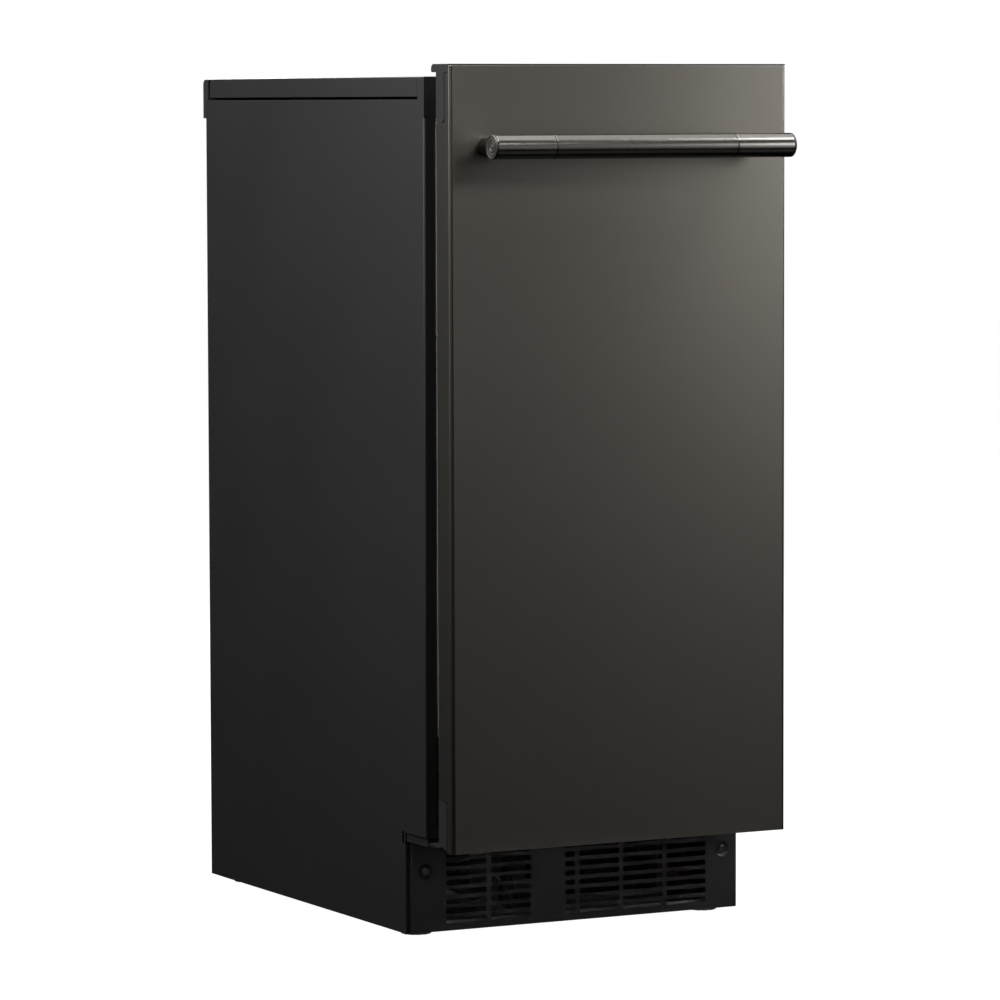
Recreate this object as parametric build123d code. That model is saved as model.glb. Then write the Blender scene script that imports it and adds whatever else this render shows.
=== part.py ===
from build123d import *
import os
from math import cos, radians, sin

# An under-counter clear-ice maker with one right-hung door.
# Millimetres. X runs to the right, Y to the rear, Z up; the origin is on the floor,
# in the middle of the overall width and depth.

# ---- driving dimensions -------------------------------------------------------------
WIDTH = 378.0                  # over the side panels and the door
HEIGHT = 869.0                 # floor to the door's top cap, feet screwed in
DEPTH = 636.0                  # handle to rear cap
HANDLE_PROJECTION = 58.0       # handle's front ahead of the door's face
SHEET = 1.0                    # steel sheet of the casing and the door skin
BASE = 4.0                     # underside of the casing above the floor

HALF = WIDTH / 2
DOOR_FACE = -DEPTH / 2 + HANDLE_PROJECTION


def back(depth):
    """The Y of a plane this far behind the door's front face."""
    return DOOR_FACE + depth


# casing
FRONT = back(56)               # front edge of the casing
REAR = back(571)               # rear edge of the side panels
REAR_CAP = back(578)           # outer face of the rear cap
TOP = 857.0                    # top of the casing
SIDE_TOP = 834.5               # top edge of the side panels' main sheet
BAND_LOW = 837.5               # lower edge of the lid's side band
CORNER_LOW = 816.5             # lower end of the lid's front corner legs
TOE_TOP = 106.0                # top edge of the toe recess
TOE_FRONT = back(104)          # casing's front edge inside the toe recess
FLANGE = 12.0                  # folded edge of the side panels
TOE_FLANGE = 26.0              # folded edge that carries the toe grille
GRILLE_FACE = back(95.5)

# cavity
BAY_TOP = 206.0                # top of the machine bay's front panel
LINER_WALL = 2.5
CAVITY_X = 149.5
CAVITY_Z = (224.5, 812.5)
CAVITY_BACK = back(518.5)
LINER_FLANGE = 1.5
SERVICE_FACE = back(545)       # recessed lower part of the rear panel
INLET = (60.0, 60.0)           # X and Z of the water inlet
DRAIN = (110.0, 40.0)
CORD = (150.0, 60.0)
TOP_HINGE_SCREWS = [(152.0, back(66)), (180.0, back(66)), (166.0, back(100))]
LOWER_HINGE_SCREWS = [(x, z) for x in (156.0, 169.0) for z in (116.0, 128.0)]
COVER_SCREW = (-162.0, back(66))

# door
DOOR_LOW = 96.5
DOOR_HIGH = 867.6
DOOR_BACK = back(29.5)
DOOR_BEND = 3.5
CAP_LOW = 861.0                # underside of the top cap's slab
CAP_BACK = back(40.5)
LEG_FRONT = back(13.2)         # front edge of the end caps' side legs
TOP_LEG_LOW = 811.5
BOTTOM_LEG_HIGH = 147.0
HINGE_X = 178.0
HINGE_Y = back(16)
PIN_R = 4.0
RUNNING = 0.05                 # radial clearance of a running fit

# handle
HANDLE_Z = 788.6
HANDLE_R = 12.0
HANDLE_Y = -DEPTH / 2 + HANDLE_R
SEAM_X = 100.6
HANDLE_END = 168.0
POST_X = 148.0
POST_R = 10.5
BOLT_R = 3.0

# toe grille
SLOT_LENGTH = 45.5
SLOT_HEIGHT = 5.5
SLOT_CORNER = 1.5
SLOT_PITCH_X = 50.6
SLOT_PITCH_Z = 9.6
SLOT_FIRST_X = -124.8
SLOT_FIRST_Z = 15.0
SLOT_ROWS = 8
BLANK_COLUMN = 2               # this column has only a short slot at its right end
GRILLE_SCREW = (170.5, 66.0)

# machine bay
LEG_X = 165.0
LEG_Y = (back(128), back(528))
LEG_TRAVEL = 25.0
STUD_R = 4.0
COIL_X = (-15.0, 105.0)
COIL_Y = (back(112), back(146))
COIL_Z = (22.0, 150.0)
FIN_PITCH = 4.0
FIN_GAP = 3.4
FAN_X = sum(COIL_X) / 2
FAN_Z = sum(COIL_Z) / 2
FAN_RING_R = 58.0
CAN_X = -95.0
CAN_Y = back(425)
CAN_R = 70.0
LINE_X = 110.0                 # suction line's riser; the hot-gas riser stands beside it
HOT_X = 124.0
LINE_Y = back(533)
COIL_OUT_Z = 766.4             # coil's suction end
HOT_Z = 722.0                  # hot-gas line's way through the liner

# ice section
PLATE_TILT = 10.0
PLATE_MIDDLE = (-15.0, back(365), 755.0)
PLATE_HALF = (110.0, 115.0)
TROUGH_X = (-125.0, 145.0)
TROUGH_Y = (back(262), back(480))
TROUGH_Z = (650.0, 702.0)
PUMP_X = 122.0
PUMP_Y = back(320)
GRID_Y = (back(92), back(246))
GRID_Z = (688.0, 712.0)
PANEL_Y = (back(66), back(70))
PANEL_Z = (716.0, 810.0)
BUTTON_X = {"button_power": -30.0, "button_clean": 30.0}
BUTTON_Z = 785.0
BUTTON_R = 7.0
SCOOP_X = -124.0
SCOOP_Y = back(195)


# ---- helpers ------------------------------------------------------------------------
def slab(x, y, z):
    """A box between two planes on each axis."""
    size = (x[1] - x[0], y[1] - y[0], z[1] - z[0])
    middle = (sum(x) / 2, sum(y) / 2, sum(z) / 2)
    return Pos(*middle) * Box(*size)


def rod(start, end, radius):
    """A round bar from one point to another."""
    axis = Vector(*end) - Vector(*start)
    place = Plane(origin=start, z_dir=axis).location
    return place * Cylinder(radius, axis.length, align=(Align.CENTER, Align.CENTER, Align.MIN))


def pipe(points, bend, radius):
    """A round tube along straight runs joined by tangent arcs."""
    path = FilletPolyline(*points, radius=bend)
    section = Plane(origin=path @ 0, z_dir=path % 0) * Circle(radius)
    return sweep(section, path=path)


def edges_at(shape, along, **place):
    """Edges parallel to an axis whose middle lies at the given coordinates."""
    found = shape.edges().filter_by(along)
    for name, value in place.items():
        found = [edge for edge in found if abs(getattr(edge.center(), name.upper()) - value) < 0.01]
    return found


def both_sides(shape):
    """A shape and its mirror image across the middle plane."""
    return shape + mirror(shape, about=Plane.YZ)


def handed(shape, side):
    """A right-hand shape, mirrored when side is negative."""
    return shape if side > 0 else mirror(shape, about=Plane.YZ)


def screw(place, length, radius=2.0, head=4.0):
    """A pan-head cross-recess screw whose head faces the local +Z from z = 0."""
    dome = rod((0, 0, 0), (0, 0, 2.4), head)
    dome = fillet(dome.edges().sort_by(Axis.Z)[-1], 1.2)
    shank = rod((0, 0, -length), (0, 0, 0), radius)
    cross = Pos(0, 0, 2.0) * (Box(4.2, 0.9, 1.6) + Box(0.9, 4.2, 1.6))
    return place * (dome + shank - cross)


def facing_front(x, y, z):
    """A location whose local +Z points to the front."""
    return Plane(origin=(x, y, z), x_dir=(1, 0, 0), z_dir=(0, -1, 0)).location


# ---- casing -------------------------------------------------------------------------
def side_panel(side):
    """Folded side sheet: toe recess, corner tab, front, toe and top flanges, relief slot."""
    with BuildLine(Plane.YZ) as outline:
        Polyline(
            (FRONT, TOE_TOP), (FRONT, CORNER_LOW), (back(62), CORNER_LOW), (back(62), TOP - SHEET),
            (back(70.5), TOP - SHEET), (back(70.5), SIDE_TOP), (REAR, SIDE_TOP), (REAR, BASE),
            (TOE_FRONT, BASE), (TOE_FRONT, TOE_TOP), close=True,
        )
    sheet = Pos(HALF - SHEET, 0, 0) * extrude(make_face(outline.line), SHEET, dir=(1, 0, 0))
    sheet += slab((HALF - FLANGE, HALF), (FRONT, FRONT + SHEET), (TOE_TOP, CORNER_LOW))
    sheet += slab((HALF - TOE_FLANGE, HALF), (TOE_FRONT, TOE_FRONT + SHEET), (BASE, 94))
    sheet += slab((HALF - 15, HALF), (back(71), REAR - 1.6), (SIDE_TOP - SHEET, SIDE_TOP))
    sheet = fillet(edges_at(sheet, Axis.Z, x=HALF, y=FRONT), 1.8)
    sheet -= slab((HALF - 3, HALF + 1), (back(106.5), back(110.5)), (94, TOE_TOP + 1))
    screw_x, screw_z = GRILLE_SCREW
    sheet -= rod((screw_x, TOE_FRONT - 1, screw_z), (screw_x, TOE_FRONT + 3, screw_z), 2.1)
    return handed(sheet, side)


def top_cover():
    """Pressed lid with a side band, a front skirt and two front corner legs."""
    lid = slab((-HALF, HALF), (FRONT, back(565.6)), (TOP - SHEET, TOP))
    lid += slab((-HALF, HALF), (FRONT, FRONT + SHEET), (CORNER_LOW + 0.5, TOP))
    band = slab((HALF - SHEET, HALF), (back(71), back(560)), (BAND_LOW, TOP))
    corner = slab((HALF - SHEET, HALF), (FRONT, back(61.6)), (CORNER_LOW + 0.5, TOP))
    lid += both_sides(band + corner)
    lid = fillet(edges_at(lid, Axis.Y, z=TOP, x=HALF) + edges_at(lid, Axis.Y, z=TOP, x=-HALF), 0.9)
    for x, y in TOP_HINGE_SCREWS + [COVER_SCREW]:
        lid -= rod((x, y, TOP - 3), (x, y, TOP + 1), 2.2)
    return lid



def rear_cap():
    """Moulded cap that closes the top rear edge."""
    cap = slab((-HALF, HALF), (REAR + 0.3, REAR_CAP), (815.5, TOP - 0.5))
    cap += slab((-HALF, HALF), (back(566), REAR + 0.3), (SIDE_TOP + 0.4, TOP - 0.5))
    return fillet(edges_at(cap, Axis.X, y=REAR_CAP, z=TOP - 0.5), 5.5)


def rear_panel():
    """Upper rear sheet with a ledge, and the service sheet set in below it with louvres."""
    side = HALF - 1.3
    upper = slab((-side, side), (REAR - SHEET, REAR), (211.5, 815))
    upper += slab((-side, side), (SERVICE_FACE, REAR), (211.5, 212.5))
    service = slab((-side, side), (SERVICE_FACE, SERVICE_FACE + SHEET), (18, 211.3))
    for column in range(4):
        for row in range(8):
            place = facing_front(-150 + 44 * column, SERVICE_FACE, 118 + 10 * row)
            service -= place * extrude(SlotOverall(36, 4.5), 4, both=True)
    for (x, z), radius in ((INLET, 10.3), (DRAIN, 10.3), (CORD, 7.3)):
        service -= rod((x, SERVICE_FACE - 2, z), (x, SERVICE_FACE + 3, z), radius)
    return Compound(children=[upper, service])


def lower_front_panel():
    """Sheet behind the door's lower end, folded back as a rail over the toe recess.

    The rail's ends are set in from the sides, and a welded plate on the left mirrors
    the lower hinge for a left-hung door.
    """
    face = (FRONT + 1.2, FRONT + 2.2)
    panel = slab((-175, 175), face, (97, BAY_TOP - 0.5))
    panel += slab((-175, 175), (face[1], FRONT + 12), (BAY_TOP - 1.5, BAY_TOP - 0.5))
    end = HALF - 1.4
    panel += slab((-end, end), (face[0], back(106)), (104.6, 105.6))
    panel += slab((-end, end), face, (97, 105.6))
    panel += both_sides(slab((end - 1, end), (FRONT, back(103.5)), (97, 105.6)))
    stop = slab((-186, -150), (back(31), face[0]), (98.2, 101.2))
    stop = fillet(edges_at(stop, Axis.Z, y=back(31)), 4)
    panel += stop + slab((-174.5, -150), (FRONT - 1.9, face[0]), (98.2, 128))
    for x, z in LOWER_HINGE_SCREWS:
        panel -= rod((x, FRONT - 1, z), (x, FRONT + 4, z), 2.2)
    return panel


def base_pan():
    """Tray that carries the machinery, with weld nuts and compressor studs."""
    side = HALF - 1.4
    pan = slab((-side, side), (TOE_FRONT + 2, back(543)), (BASE, BASE + 1.5))
    pan += slab((-side, side), (TOE_FRONT + 2, TOE_FRONT + 3.2), (BASE, 13.4))
    pan += slab((-side, side), (back(541.8), back(543)), (BASE, 17))
    pan += both_sides(slab((side - 1.2, side), (TOE_FRONT + 2, back(543)), (BASE, 17)))
    for x, y in leg_places():
        pan += rod((x, y, BASE), (x, y, 15), 9)
        pan -= rod((x, y, BASE - 1), (x, y, 20), STUD_R + RUNNING)
    for x, y in grommet_places():
        pan += rod((x, y, BASE), (x, y, 27), 3)
    return pan


def cabinet_foam():
    """Foamed-in insulation between the casing and the liner."""
    foam = slab((-HALF + 1.5, HALF - 1.5), (FRONT + 2.5, REAR - 1.5), (217, SIDE_TOP - 1.3))
    liner_x = CAVITY_X + LINER_WALL + 0.4
    foam -= slab((-liner_x, liner_x), (FRONT, CAVITY_BACK + LINER_WALL + 0.4),
                 (CAVITY_Z[0] - LINER_WALL - 0.4, CAVITY_Z[1] + LINER_WALL + 0.4))
    foam -= slab((LINE_X - 12, HOT_X + 12), (CAVITY_BACK, back(548)), (216, 782))
    foam -= rod((0, back(300), 210), (0, back(300), 225), 13)
    return foam


def bin_liner():
    """Moulded liner: an open-fronted box with rounded corners and a front flange."""
    inner_z = CAVITY_Z
    outer_z = (inner_z[0] - LINER_WALL, inner_z[1] + LINER_WALL)
    outer_x = (-CAVITY_X - LINER_WALL, CAVITY_X + LINER_WALL)
    outer = slab(outer_x, (FRONT + LINER_FLANGE, CAVITY_BACK + LINER_WALL), outer_z)
    inner = slab((-CAVITY_X, CAVITY_X), (FRONT - 5, CAVITY_BACK), inner_z)
    outer = fillet(outer.edges().filter_by(Axis.Y), 14)
    inner = fillet(inner.edges().filter_by(Axis.Y), 12)
    flange = slab((-HALF + 13.5, HALF - 13.5), (FRONT, FRONT + LINER_FLANGE), (BAY_TOP, CORNER_LOW))
    liner = outer + flange - inner
    for x, z in ((LINE_X, COIL_OUT_Z), (HOT_X, HOT_Z)):
        liner -= rod((x, CAVITY_BACK - 2, z), (x, CAVITY_BACK + 5, z), 5.5)
    liner -= rod((0, back(300), 218), (0, back(300), 228), 11)
    return liner


# ---- toe grille ---------------------------------------------------------------------
def toe_grille():
    """Flat grille with rows of slots, a return along the top and two screw dimples."""
    face = (GRILLE_FACE, GRILLE_FACE + 1.2)
    grille = slab((-186.5, 187.5), face, (5, 95))
    grille += slab((-162, 162), (GRILLE_FACE, TOE_FRONT), (93.8, 95))
    for column in range(6):
        middle = SLOT_FIRST_X + SLOT_PITCH_X * column
        length = SLOT_LENGTH
        if column == BLANK_COLUMN:
            length = 11.0
            middle += (SLOT_LENGTH - length) / 2
        for row in range(SLOT_ROWS):
            place = facing_front(middle, GRILLE_FACE, SLOT_FIRST_Z + SLOT_PITCH_Z * row)
            opening = RectangleRounded(length, SLOT_HEIGHT, SLOT_CORNER)
            grille -= place * extrude(opening, 4, both=True)
    x, z = GRILLE_SCREW
    for side in (-1, 1):
        place = facing_front(side * x, GRILLE_FACE, z)
        grille += place * Pos(0, 0, -1.6) * Cylinder(9, 3.2)
        grille -= place * Pos(0, 0, 0.6) * Cylinder(20, 1.2)
        grille -= place * Pos(0, 0, -0.8) * Cone(4.6, 8, 1.61)
        grille -= place * Cylinder(2.2, 12)
    return grille


def grille_screws():
    """Two cross-recess screws that hold the grille to the toe flanges."""
    x, z = GRILLE_SCREW
    screws = [screw(facing_front(side * x, GRILLE_FACE + 1.55, z), 11) for side in (-1, 1)]
    return Compound(children=screws)


# ---- machine bay --------------------------------------------------------------------
def leg_places():
    """Where the four levelling legs stand."""
    return [(x, y) for y in LEG_Y for x in (-LEG_X, LEG_X)]


def levelling_leg(x, y):
    """Screw-in leg: a ribbed disc on a threaded stem."""
    disc = Cylinder(15, 3.6, align=(Align.CENTER, Align.CENTER, Align.MIN))
    disc = chamfer(disc.edges().sort_by(Axis.Z)[-1], 1)
    for step in range(12):
        angle = radians(30 * step)
        disc -= Pos(15.6 * cos(angle), 15.6 * sin(angle), 1.8) * Cylinder(1.6, 4)
    stem = rod((0, 0, 3), (0, 0, LEG_TRAVEL + 19), STUD_R)
    stem = chamfer(stem.edges().sort_by(Axis.Z)[-1], 0.8)
    return Pos(x, y, 0) * (disc + stem)


def condenser_core():
    """Fin block of the condenser, with a tube hole on each pass."""
    core = slab(COIL_X, COIL_Y, COIL_Z)
    count = int((COIL_X[1] - COIL_X[0]) / FIN_PITCH) - 1
    for step in range(count):
        x = COIL_X[0] + FIN_PITCH * (step + 0.5) + 0.3
        core -= slab((x, x + FIN_GAP), (COIL_Y[0] - 1, COIL_Y[1] + 1), (COIL_Z[0] + 2, COIL_Z[1] - 2))
    y = sum(COIL_Y) / 2
    for z in coil_passes():
        core -= rod((COIL_X[0] - 1, y, z), (COIL_X[1] + 1, y, z), 4.6)
    return core


def coil_passes():
    """Heights of the condenser tube's straight passes."""
    return [COIL_Z[0] + 16 + 32 * step for step in range(4)]


def condenser_tube():
    """Serpentine tube through the fins, with both ends on the right."""
    y = sum(COIL_Y) / 2
    low, second, third, high = coil_passes()
    left = COIL_X[0] - 20
    right = COIL_X[1] + 20
    points = [(right + 8, y, high), (left, y, high), (left, y, third), (right, y, third),
              (right, y, second), (left, y, second), (left, y, low), (right + 8, y, low)]
    return pipe(points, 15, 4.5)


def fan_shroud():
    """Plate and ring behind the condenser, with a cross bar that carries the motor."""
    plate = slab(COIL_X, (back(147), back(149)), COIL_Z)
    ring = rod((FAN_X, back(149), FAN_Z), (FAN_X, back(160), FAN_Z), FAN_RING_R + 2)
    shroud = plate + ring - rod((FAN_X, back(140), FAN_Z), (FAN_X, back(170), FAN_Z), FAN_RING_R)
    for z in (COIL_Z[0] + 6, COIL_Z[1] - 6):
        for x in (COIL_X[0] + 5, COIL_X[1] - 5):
            shroud += slab((x - 5, x + 5), (back(149), back(198)), (z - 3, z + 3))
    for z in (COIL_Z[0] + 6, COIL_Z[1] - 6):
        shroud += slab(COIL_X, (back(195), back(198)), (z - 6, z + 6))
    shroud += slab((FAN_X - 14, FAN_X + 14), (back(195), back(198)), COIL_Z)
    shroud -= rod((FAN_X, back(190), FAN_Z), (FAN_X, back(200), FAN_Z), 8)
    return shroud


def fan_motor():
    """Shaded-pole fan motor with its shaft forward."""
    motor = rod((FAN_X, back(198.2), FAN_Z), (FAN_X, back(240), FAN_Z), 26)
    motor = fillet(motor.edges().filter_by(GeomType.CIRCLE).sort_by(Axis.Y)[-1], 6)
    return motor + rod((FAN_X, back(172), FAN_Z), (FAN_X, back(199), FAN_Z), 3)


def fan_blade():
    """Five-bladed axial fan on a hub bored for the motor shaft."""
    hub = rod((FAN_X, back(166), FAN_Z), (FAN_X, back(186), FAN_Z), 14)
    hub = fillet(hub.edges().filter_by(GeomType.CIRCLE).sort_by(Axis.Y)[0], 3)
    fan = hub
    for step in range(5):
        blade = Pos(33, 0, 0) * Rot(X=32) * Box(43, 30, 1.6)
        place = Location((FAN_X, back(176), FAN_Z), (90, 0, 0)) * Rot(Z=72 * step)
        fan += place * blade
    fan -= rod((FAN_X, back(171.5), FAN_Z), (FAN_X, back(190), FAN_Z), 3 + RUNNING)
    return fan


def grommet_places():
    """Where the compressor's four rubber grommets stand."""
    return [(CAN_X + dx, CAN_Y + dy) for dx in (-62, 62) for dy in (-48, 48)]


def compressor():
    """Hermetic compressor: domed can on a foot plate, with three stub tubes."""
    can = Pos(CAN_X, CAN_Y, 24) * Cylinder(CAN_R, 160, align=(Align.CENTER, Align.CENTER, Align.MIN))
    can = fillet(can.edges().filter_by(GeomType.CIRCLE), 30)
    can += Pos(CAN_X, CAN_Y, 96) * Cylinder(CAN_R + 2.5, 5)
    feet = slab((CAN_X - 74, CAN_X + 74), (CAN_Y - 60, CAN_Y + 60), (22, 25))
    feet = fillet(feet.edges().filter_by(Axis.Z), 10)
    for x, y in grommet_places():
        feet -= rod((x, y, 20), (x, y, 27), 3.4)
    return can + feet


def compressor_grommets():
    """Four rubber grommets under the compressor's feet."""
    soft = []
    for x, y in grommet_places():
        ring = rod((x, y, BASE + 1.6), (x, y, 21.9), 10)
        ring -= rod((x, y, BASE), (x, y, 23), 3.2)
        soft.append(ring)
    return Compound(children=soft)



def filter_drier():
    """Copper filter drier, swaged at both ends."""
    x, y = 70, back(440)
    body = rod((x, y, 60), (x, y, 140), 10)
    body = fillet(body.edges().filter_by(GeomType.CIRCLE), 6)
    return body + rod((x, y, 52), (x, y, 148), 3.5)


def refrigerant_lines():
    """Discharge, liquid, hot-gas and suction lines as separate tubes."""
    coil_y = sum(COIL_Y) / 2
    low = coil_passes()[0]
    high = coil_passes()[-1]
    discharge = pipe([(-26.5, CAN_Y - 34, 150), (20, CAN_Y - 34, 150), (20, back(300), 150),
                      (150, back(300), 150), (150, coil_y, high), (133.5, coil_y, high)], 7, 3.5)
    liquid = pipe([(133.5, coil_y, low), (150, coil_y, low), (150, back(440), low),
                   (70, back(440), low), (70, back(440), 51.5)], 6, 3.5)
    hot_gas = pipe([(70, back(440), 148.5), (70, back(440), 185), (HOT_X, back(440), 185),
                    (HOT_X, LINE_Y, 185), (HOT_X, LINE_Y, HOT_Z), (HOT_X, back(490), HOT_Z),
                    (100, back(470), HOT_Z), (100, back(281.3), HOT_Z), (100, back(281.3), 735.1),
                    (83.5, back(281.3), 735.1)], 6, 3)
    suction = pipe([(-70, CAN_Y + 20, 184.5), (-70, CAN_Y + 20, 200), (-70, LINE_Y, 200),
                    (LINE_X, LINE_Y, 200), (LINE_X, LINE_Y, COIL_OUT_Z),
                    (LINE_X, back(458.6), COIL_OUT_Z), (103.3, back(458.6), COIL_OUT_Z)], 6, 4)
    return Compound(children=[discharge, liquid, hot_gas, suction])


def hot_gas_valve():
    """Solenoid valve for harvest: brass body, coil and bracket."""
    valve = slab((128, 152), (back(392), back(416)), (104, 124))
    valve += rod((140, back(404), 124), (140, back(404), 136), 6)
    valve += slab((124, 156), (back(388), back(420)), (136, 166))
    valve = fillet(valve.edges().filter_by(Axis.Z), 2)
    return valve + slab((134, 146), (back(402), back(406)), (BASE + 1.6, 104))


def control_box():
    """Covered electronics box behind the grille's left end."""
    x, y, z = (-178, -112), (back(112), back(196)), (48, 120)
    box = fillet(slab(x, y, z).edges().filter_by(Axis.Z), 3)
    wall = 2
    box -= slab((x[0] + wall, x[1] - wall), (y[0] + wall, y[1] - wall), (z[0] + wall, z[1] - wall))
    box -= rod((x[1] - 3, back(160), 80), (x[1] + 1, back(160), 80), 5)
    return box + slab((x[1] - 8, x[1] - 5), (y[1] - 20, y[1] - 8), (BASE + 1.6, z[0] + 1))



def water_inlet_valve():
    """Inlet solenoid valve whose threaded stub passes the service panel."""
    x, z = INLET
    valve = slab((x - 16, x + 16), (back(505), SERVICE_FACE - 6), (z - 14, z + 14))
    valve = fillet(valve.edges().filter_by(Axis.Y), 4)
    valve += rod((x, back(525), z + 14), (x, back(525), z + 46), 14)
    valve += rod((x, SERVICE_FACE - 7, z), (x, SERVICE_FACE + 4, z), 8.6)
    valve += rod((x, SERVICE_FACE + 3, z), (x, SERVICE_FACE + 18, z), 9.5)
    valve -= rod((x, SERVICE_FACE + 2, z), (x, SERVICE_FACE + 19, z), 6)
    valve += slab((x - 3, x + 3), (back(515), back(519)), (BASE + 1.6, z - 13))
    return valve


def drain_outlet():
    """Barbed drain spigot through the service panel."""
    x, z = DRAIN
    spigot = rod((x, SERVICE_FACE - 14, z), (x, SERVICE_FACE - 2, z), 7.6)
    spigot += rod((x, SERVICE_FACE - 4, z), (x, SERVICE_FACE - 0.3, z), 13)
    spigot += rod((x, SERVICE_FACE - 1, z), (x, SERVICE_FACE + 2, z), 9.2)
    spigot += rod((x, SERVICE_FACE + 1, z), (x, SERVICE_FACE + 22, z), 8)
    spigot -= rod((x, SERVICE_FACE - 15, z), (x, SERVICE_FACE + 23, z), 6)
    return spigot


def drain_hose():
    """Hose from the bin's floor drain to the spigot, with its strainer cup."""
    cup = rod((0, back(300), 214), (0, back(300), 223.5), 10.5)
    hose = pipe([(0, back(300), 214.2), (0, back(300), 176), (110, back(300), 176),
                 (110, back(470), 60), (110, back(516), 40), (110, SERVICE_FACE - 14.3, 40)], 7, 7)
    return cup + hose


def cord_bushing():
    """Strain-relief bushing for the supply cord."""
    x, z = CORD
    bushing = rod((x, SERVICE_FACE - 6, z), (x, SERVICE_FACE + 8, z), 7)
    bushing += rod((x, SERVICE_FACE + SHEET + 0.2, z), (x, SERVICE_FACE + 4, z), 10)
    return bushing - rod((x, SERVICE_FACE - 8, z), (x, SERVICE_FACE + 9, z), 4.5)


# ---- ice section --------------------------------------------------------------------
def on_plate(shape):
    """Carry a shape from the evaporator plate's own axes to its tilted place."""
    return Pos(*PLATE_MIDDLE) * Rot(X=PLATE_TILT) * shape


def evaporator_plate():
    """Freezing plate with raised rims on three sides, open to the front."""
    half_x, half_y = PLATE_HALF
    plate = slab((-half_x, half_x), (-half_y, half_y), (0, 2))
    plate += both_sides(slab((half_x - 2, half_x), (-half_y, half_y), (0, 16)))
    plate += slab((-half_x, half_x), (half_y - 2, half_y), (0, 16))
    return on_plate(plate)


def evaporator_coil():
    """Serpentine copper coil under the freezing plate."""
    half_x, half_y = PLATE_HALF
    ends = (-half_x + 12, half_x - 12)
    points = [(half_x + 8, half_y - 20, -5.2)]
    for row in range(6):
        y = half_y - 20 - 36 * row
        near, far = (ends[1], ends[0]) if row % 2 == 0 else ends
        if row > 0:
            points.append((near, y, -5.2))
        points.append((far, y, -5.2))
    return on_plate(pipe(points, 14, 4.5))


def water_distributor():
    """Perforated tube that feeds water along the plate's upper end."""
    half_x, half_y = PLATE_HALF
    tube = rod((-half_x + 4, half_y - 14, 14), (half_x - 4, half_y - 14, 14), 7)
    tube -= rod((-half_x + 8, half_y - 14, 14), (half_x, half_y - 14, 14), 5.5)
    for step in range(16):
        x = -half_x + 14 + 13 * step
        tube -= rod((x, half_y - 20, 6), (x, half_y - 14, 14), 1.2)
    return on_plate(tube)


def evaporator_hangers():
    """Two moulded side plates that hang the freezing plate from the ceiling."""
    left = PLATE_MIDDLE[0] - PLATE_HALF[0] - 3.2
    right = PLATE_MIDDLE[0] + PLATE_HALF[0] + 0.3
    hangers = []
    for x in (left, right):
        web = slab((x, x + 3), (back(262), back(470)), (748, CAVITY_Z[1] - 0.3))
        web += slab((x - 4, x + 7), (back(262), back(470)), (CAVITY_Z[1] - 3.3, CAVITY_Z[1] - 0.3))
        half_x, half_y = PLATE_HALF
        web -= on_plate(rod((half_x - 4, half_y - 20, -5.2), (half_x + 6, half_y - 20, -5.2), 6))
        hangers.append(web)
    return Compound(children=hangers)


def water_reservoir():
    """Open trough under the freezing plate."""
    outer = fillet(slab(TROUGH_X, TROUGH_Y, TROUGH_Z).edges().filter_by(Axis.Z), 8)
    wall = 2.5
    inner = slab((TROUGH_X[0] + wall, TROUGH_X[1] - wall), (TROUGH_Y[0] + wall, TROUGH_Y[1] - wall),
                 (TROUGH_Z[0] + wall, TROUGH_Z[1] + 5))
    return outer - fillet(inner.edges().filter_by(Axis.Z), 6)


def pump_housing():
    """Circulation pump: motor above, pump chamber in the trough, two struts between."""
    motor = rod((PUMP_X, PUMP_Y, 716), (PUMP_X, PUMP_Y, 762), 18)
    motor = fillet(motor.edges().filter_by(GeomType.CIRCLE).sort_by(Axis.Z)[-1], 4)
    chamber = rod((PUMP_X, PUMP_Y, 654), (PUMP_X, PUMP_Y, 676), 18)
    chamber -= rod((PUMP_X, PUMP_Y, 656.5), (PUMP_X, PUMP_Y, 673.5), 15)
    chamber -= rod((PUMP_X, PUMP_Y, 650), (PUMP_X, PUMP_Y, 658), 6)
    housing = motor + chamber
    for dx in (-14, 14):
        housing += rod((PUMP_X + dx, PUMP_Y, 674), (PUMP_X + dx, PUMP_Y, 718), 3)
    return housing - rod((PUMP_X, PUMP_Y, 660), (PUMP_X, PUMP_Y, 730), 2.5 + RUNNING)


def pump_impeller():
    """Four-vaned impeller on its shaft."""
    impeller = rod((PUMP_X, PUMP_Y, 659), (PUMP_X, PUMP_Y, 728), 2.5)
    impeller += rod((PUMP_X, PUMP_Y, 668), (PUMP_X, PUMP_Y, 670), 13)
    for step in range(4):
        impeller += Pos(PUMP_X, PUMP_Y, 664) * Rot(Z=90 * step) * Pos(7, 0, 0) * Box(12, 1.5, 9)
    return impeller


def pump_hose():
    """Hose from the pump chamber up to the distributor."""
    start = (PUMP_X, PUMP_Y + 18.3, 666)
    return pipe([start, (PUMP_X, PUMP_Y + 40, 666), (PUMP_X, PUMP_Y + 40, 785),
                 (PUMP_X, back(460), 790)], 10, 5)


def grid_wires(radius):
    """The crossed heated wires, at a radius."""
    wires = []
    for step in range(11):
        x = -120 + 24 * step
        wires.append(rod((x, GRID_Y[0] + 6, 694), (x, GRID_Y[1] - 6, 694), radius))
    for step in range(5):
        y = GRID_Y[0] + 29 + 24 * step
        wires.append(rod((-140, y, 697), (140, y, 697), radius))
    return wires


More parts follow.
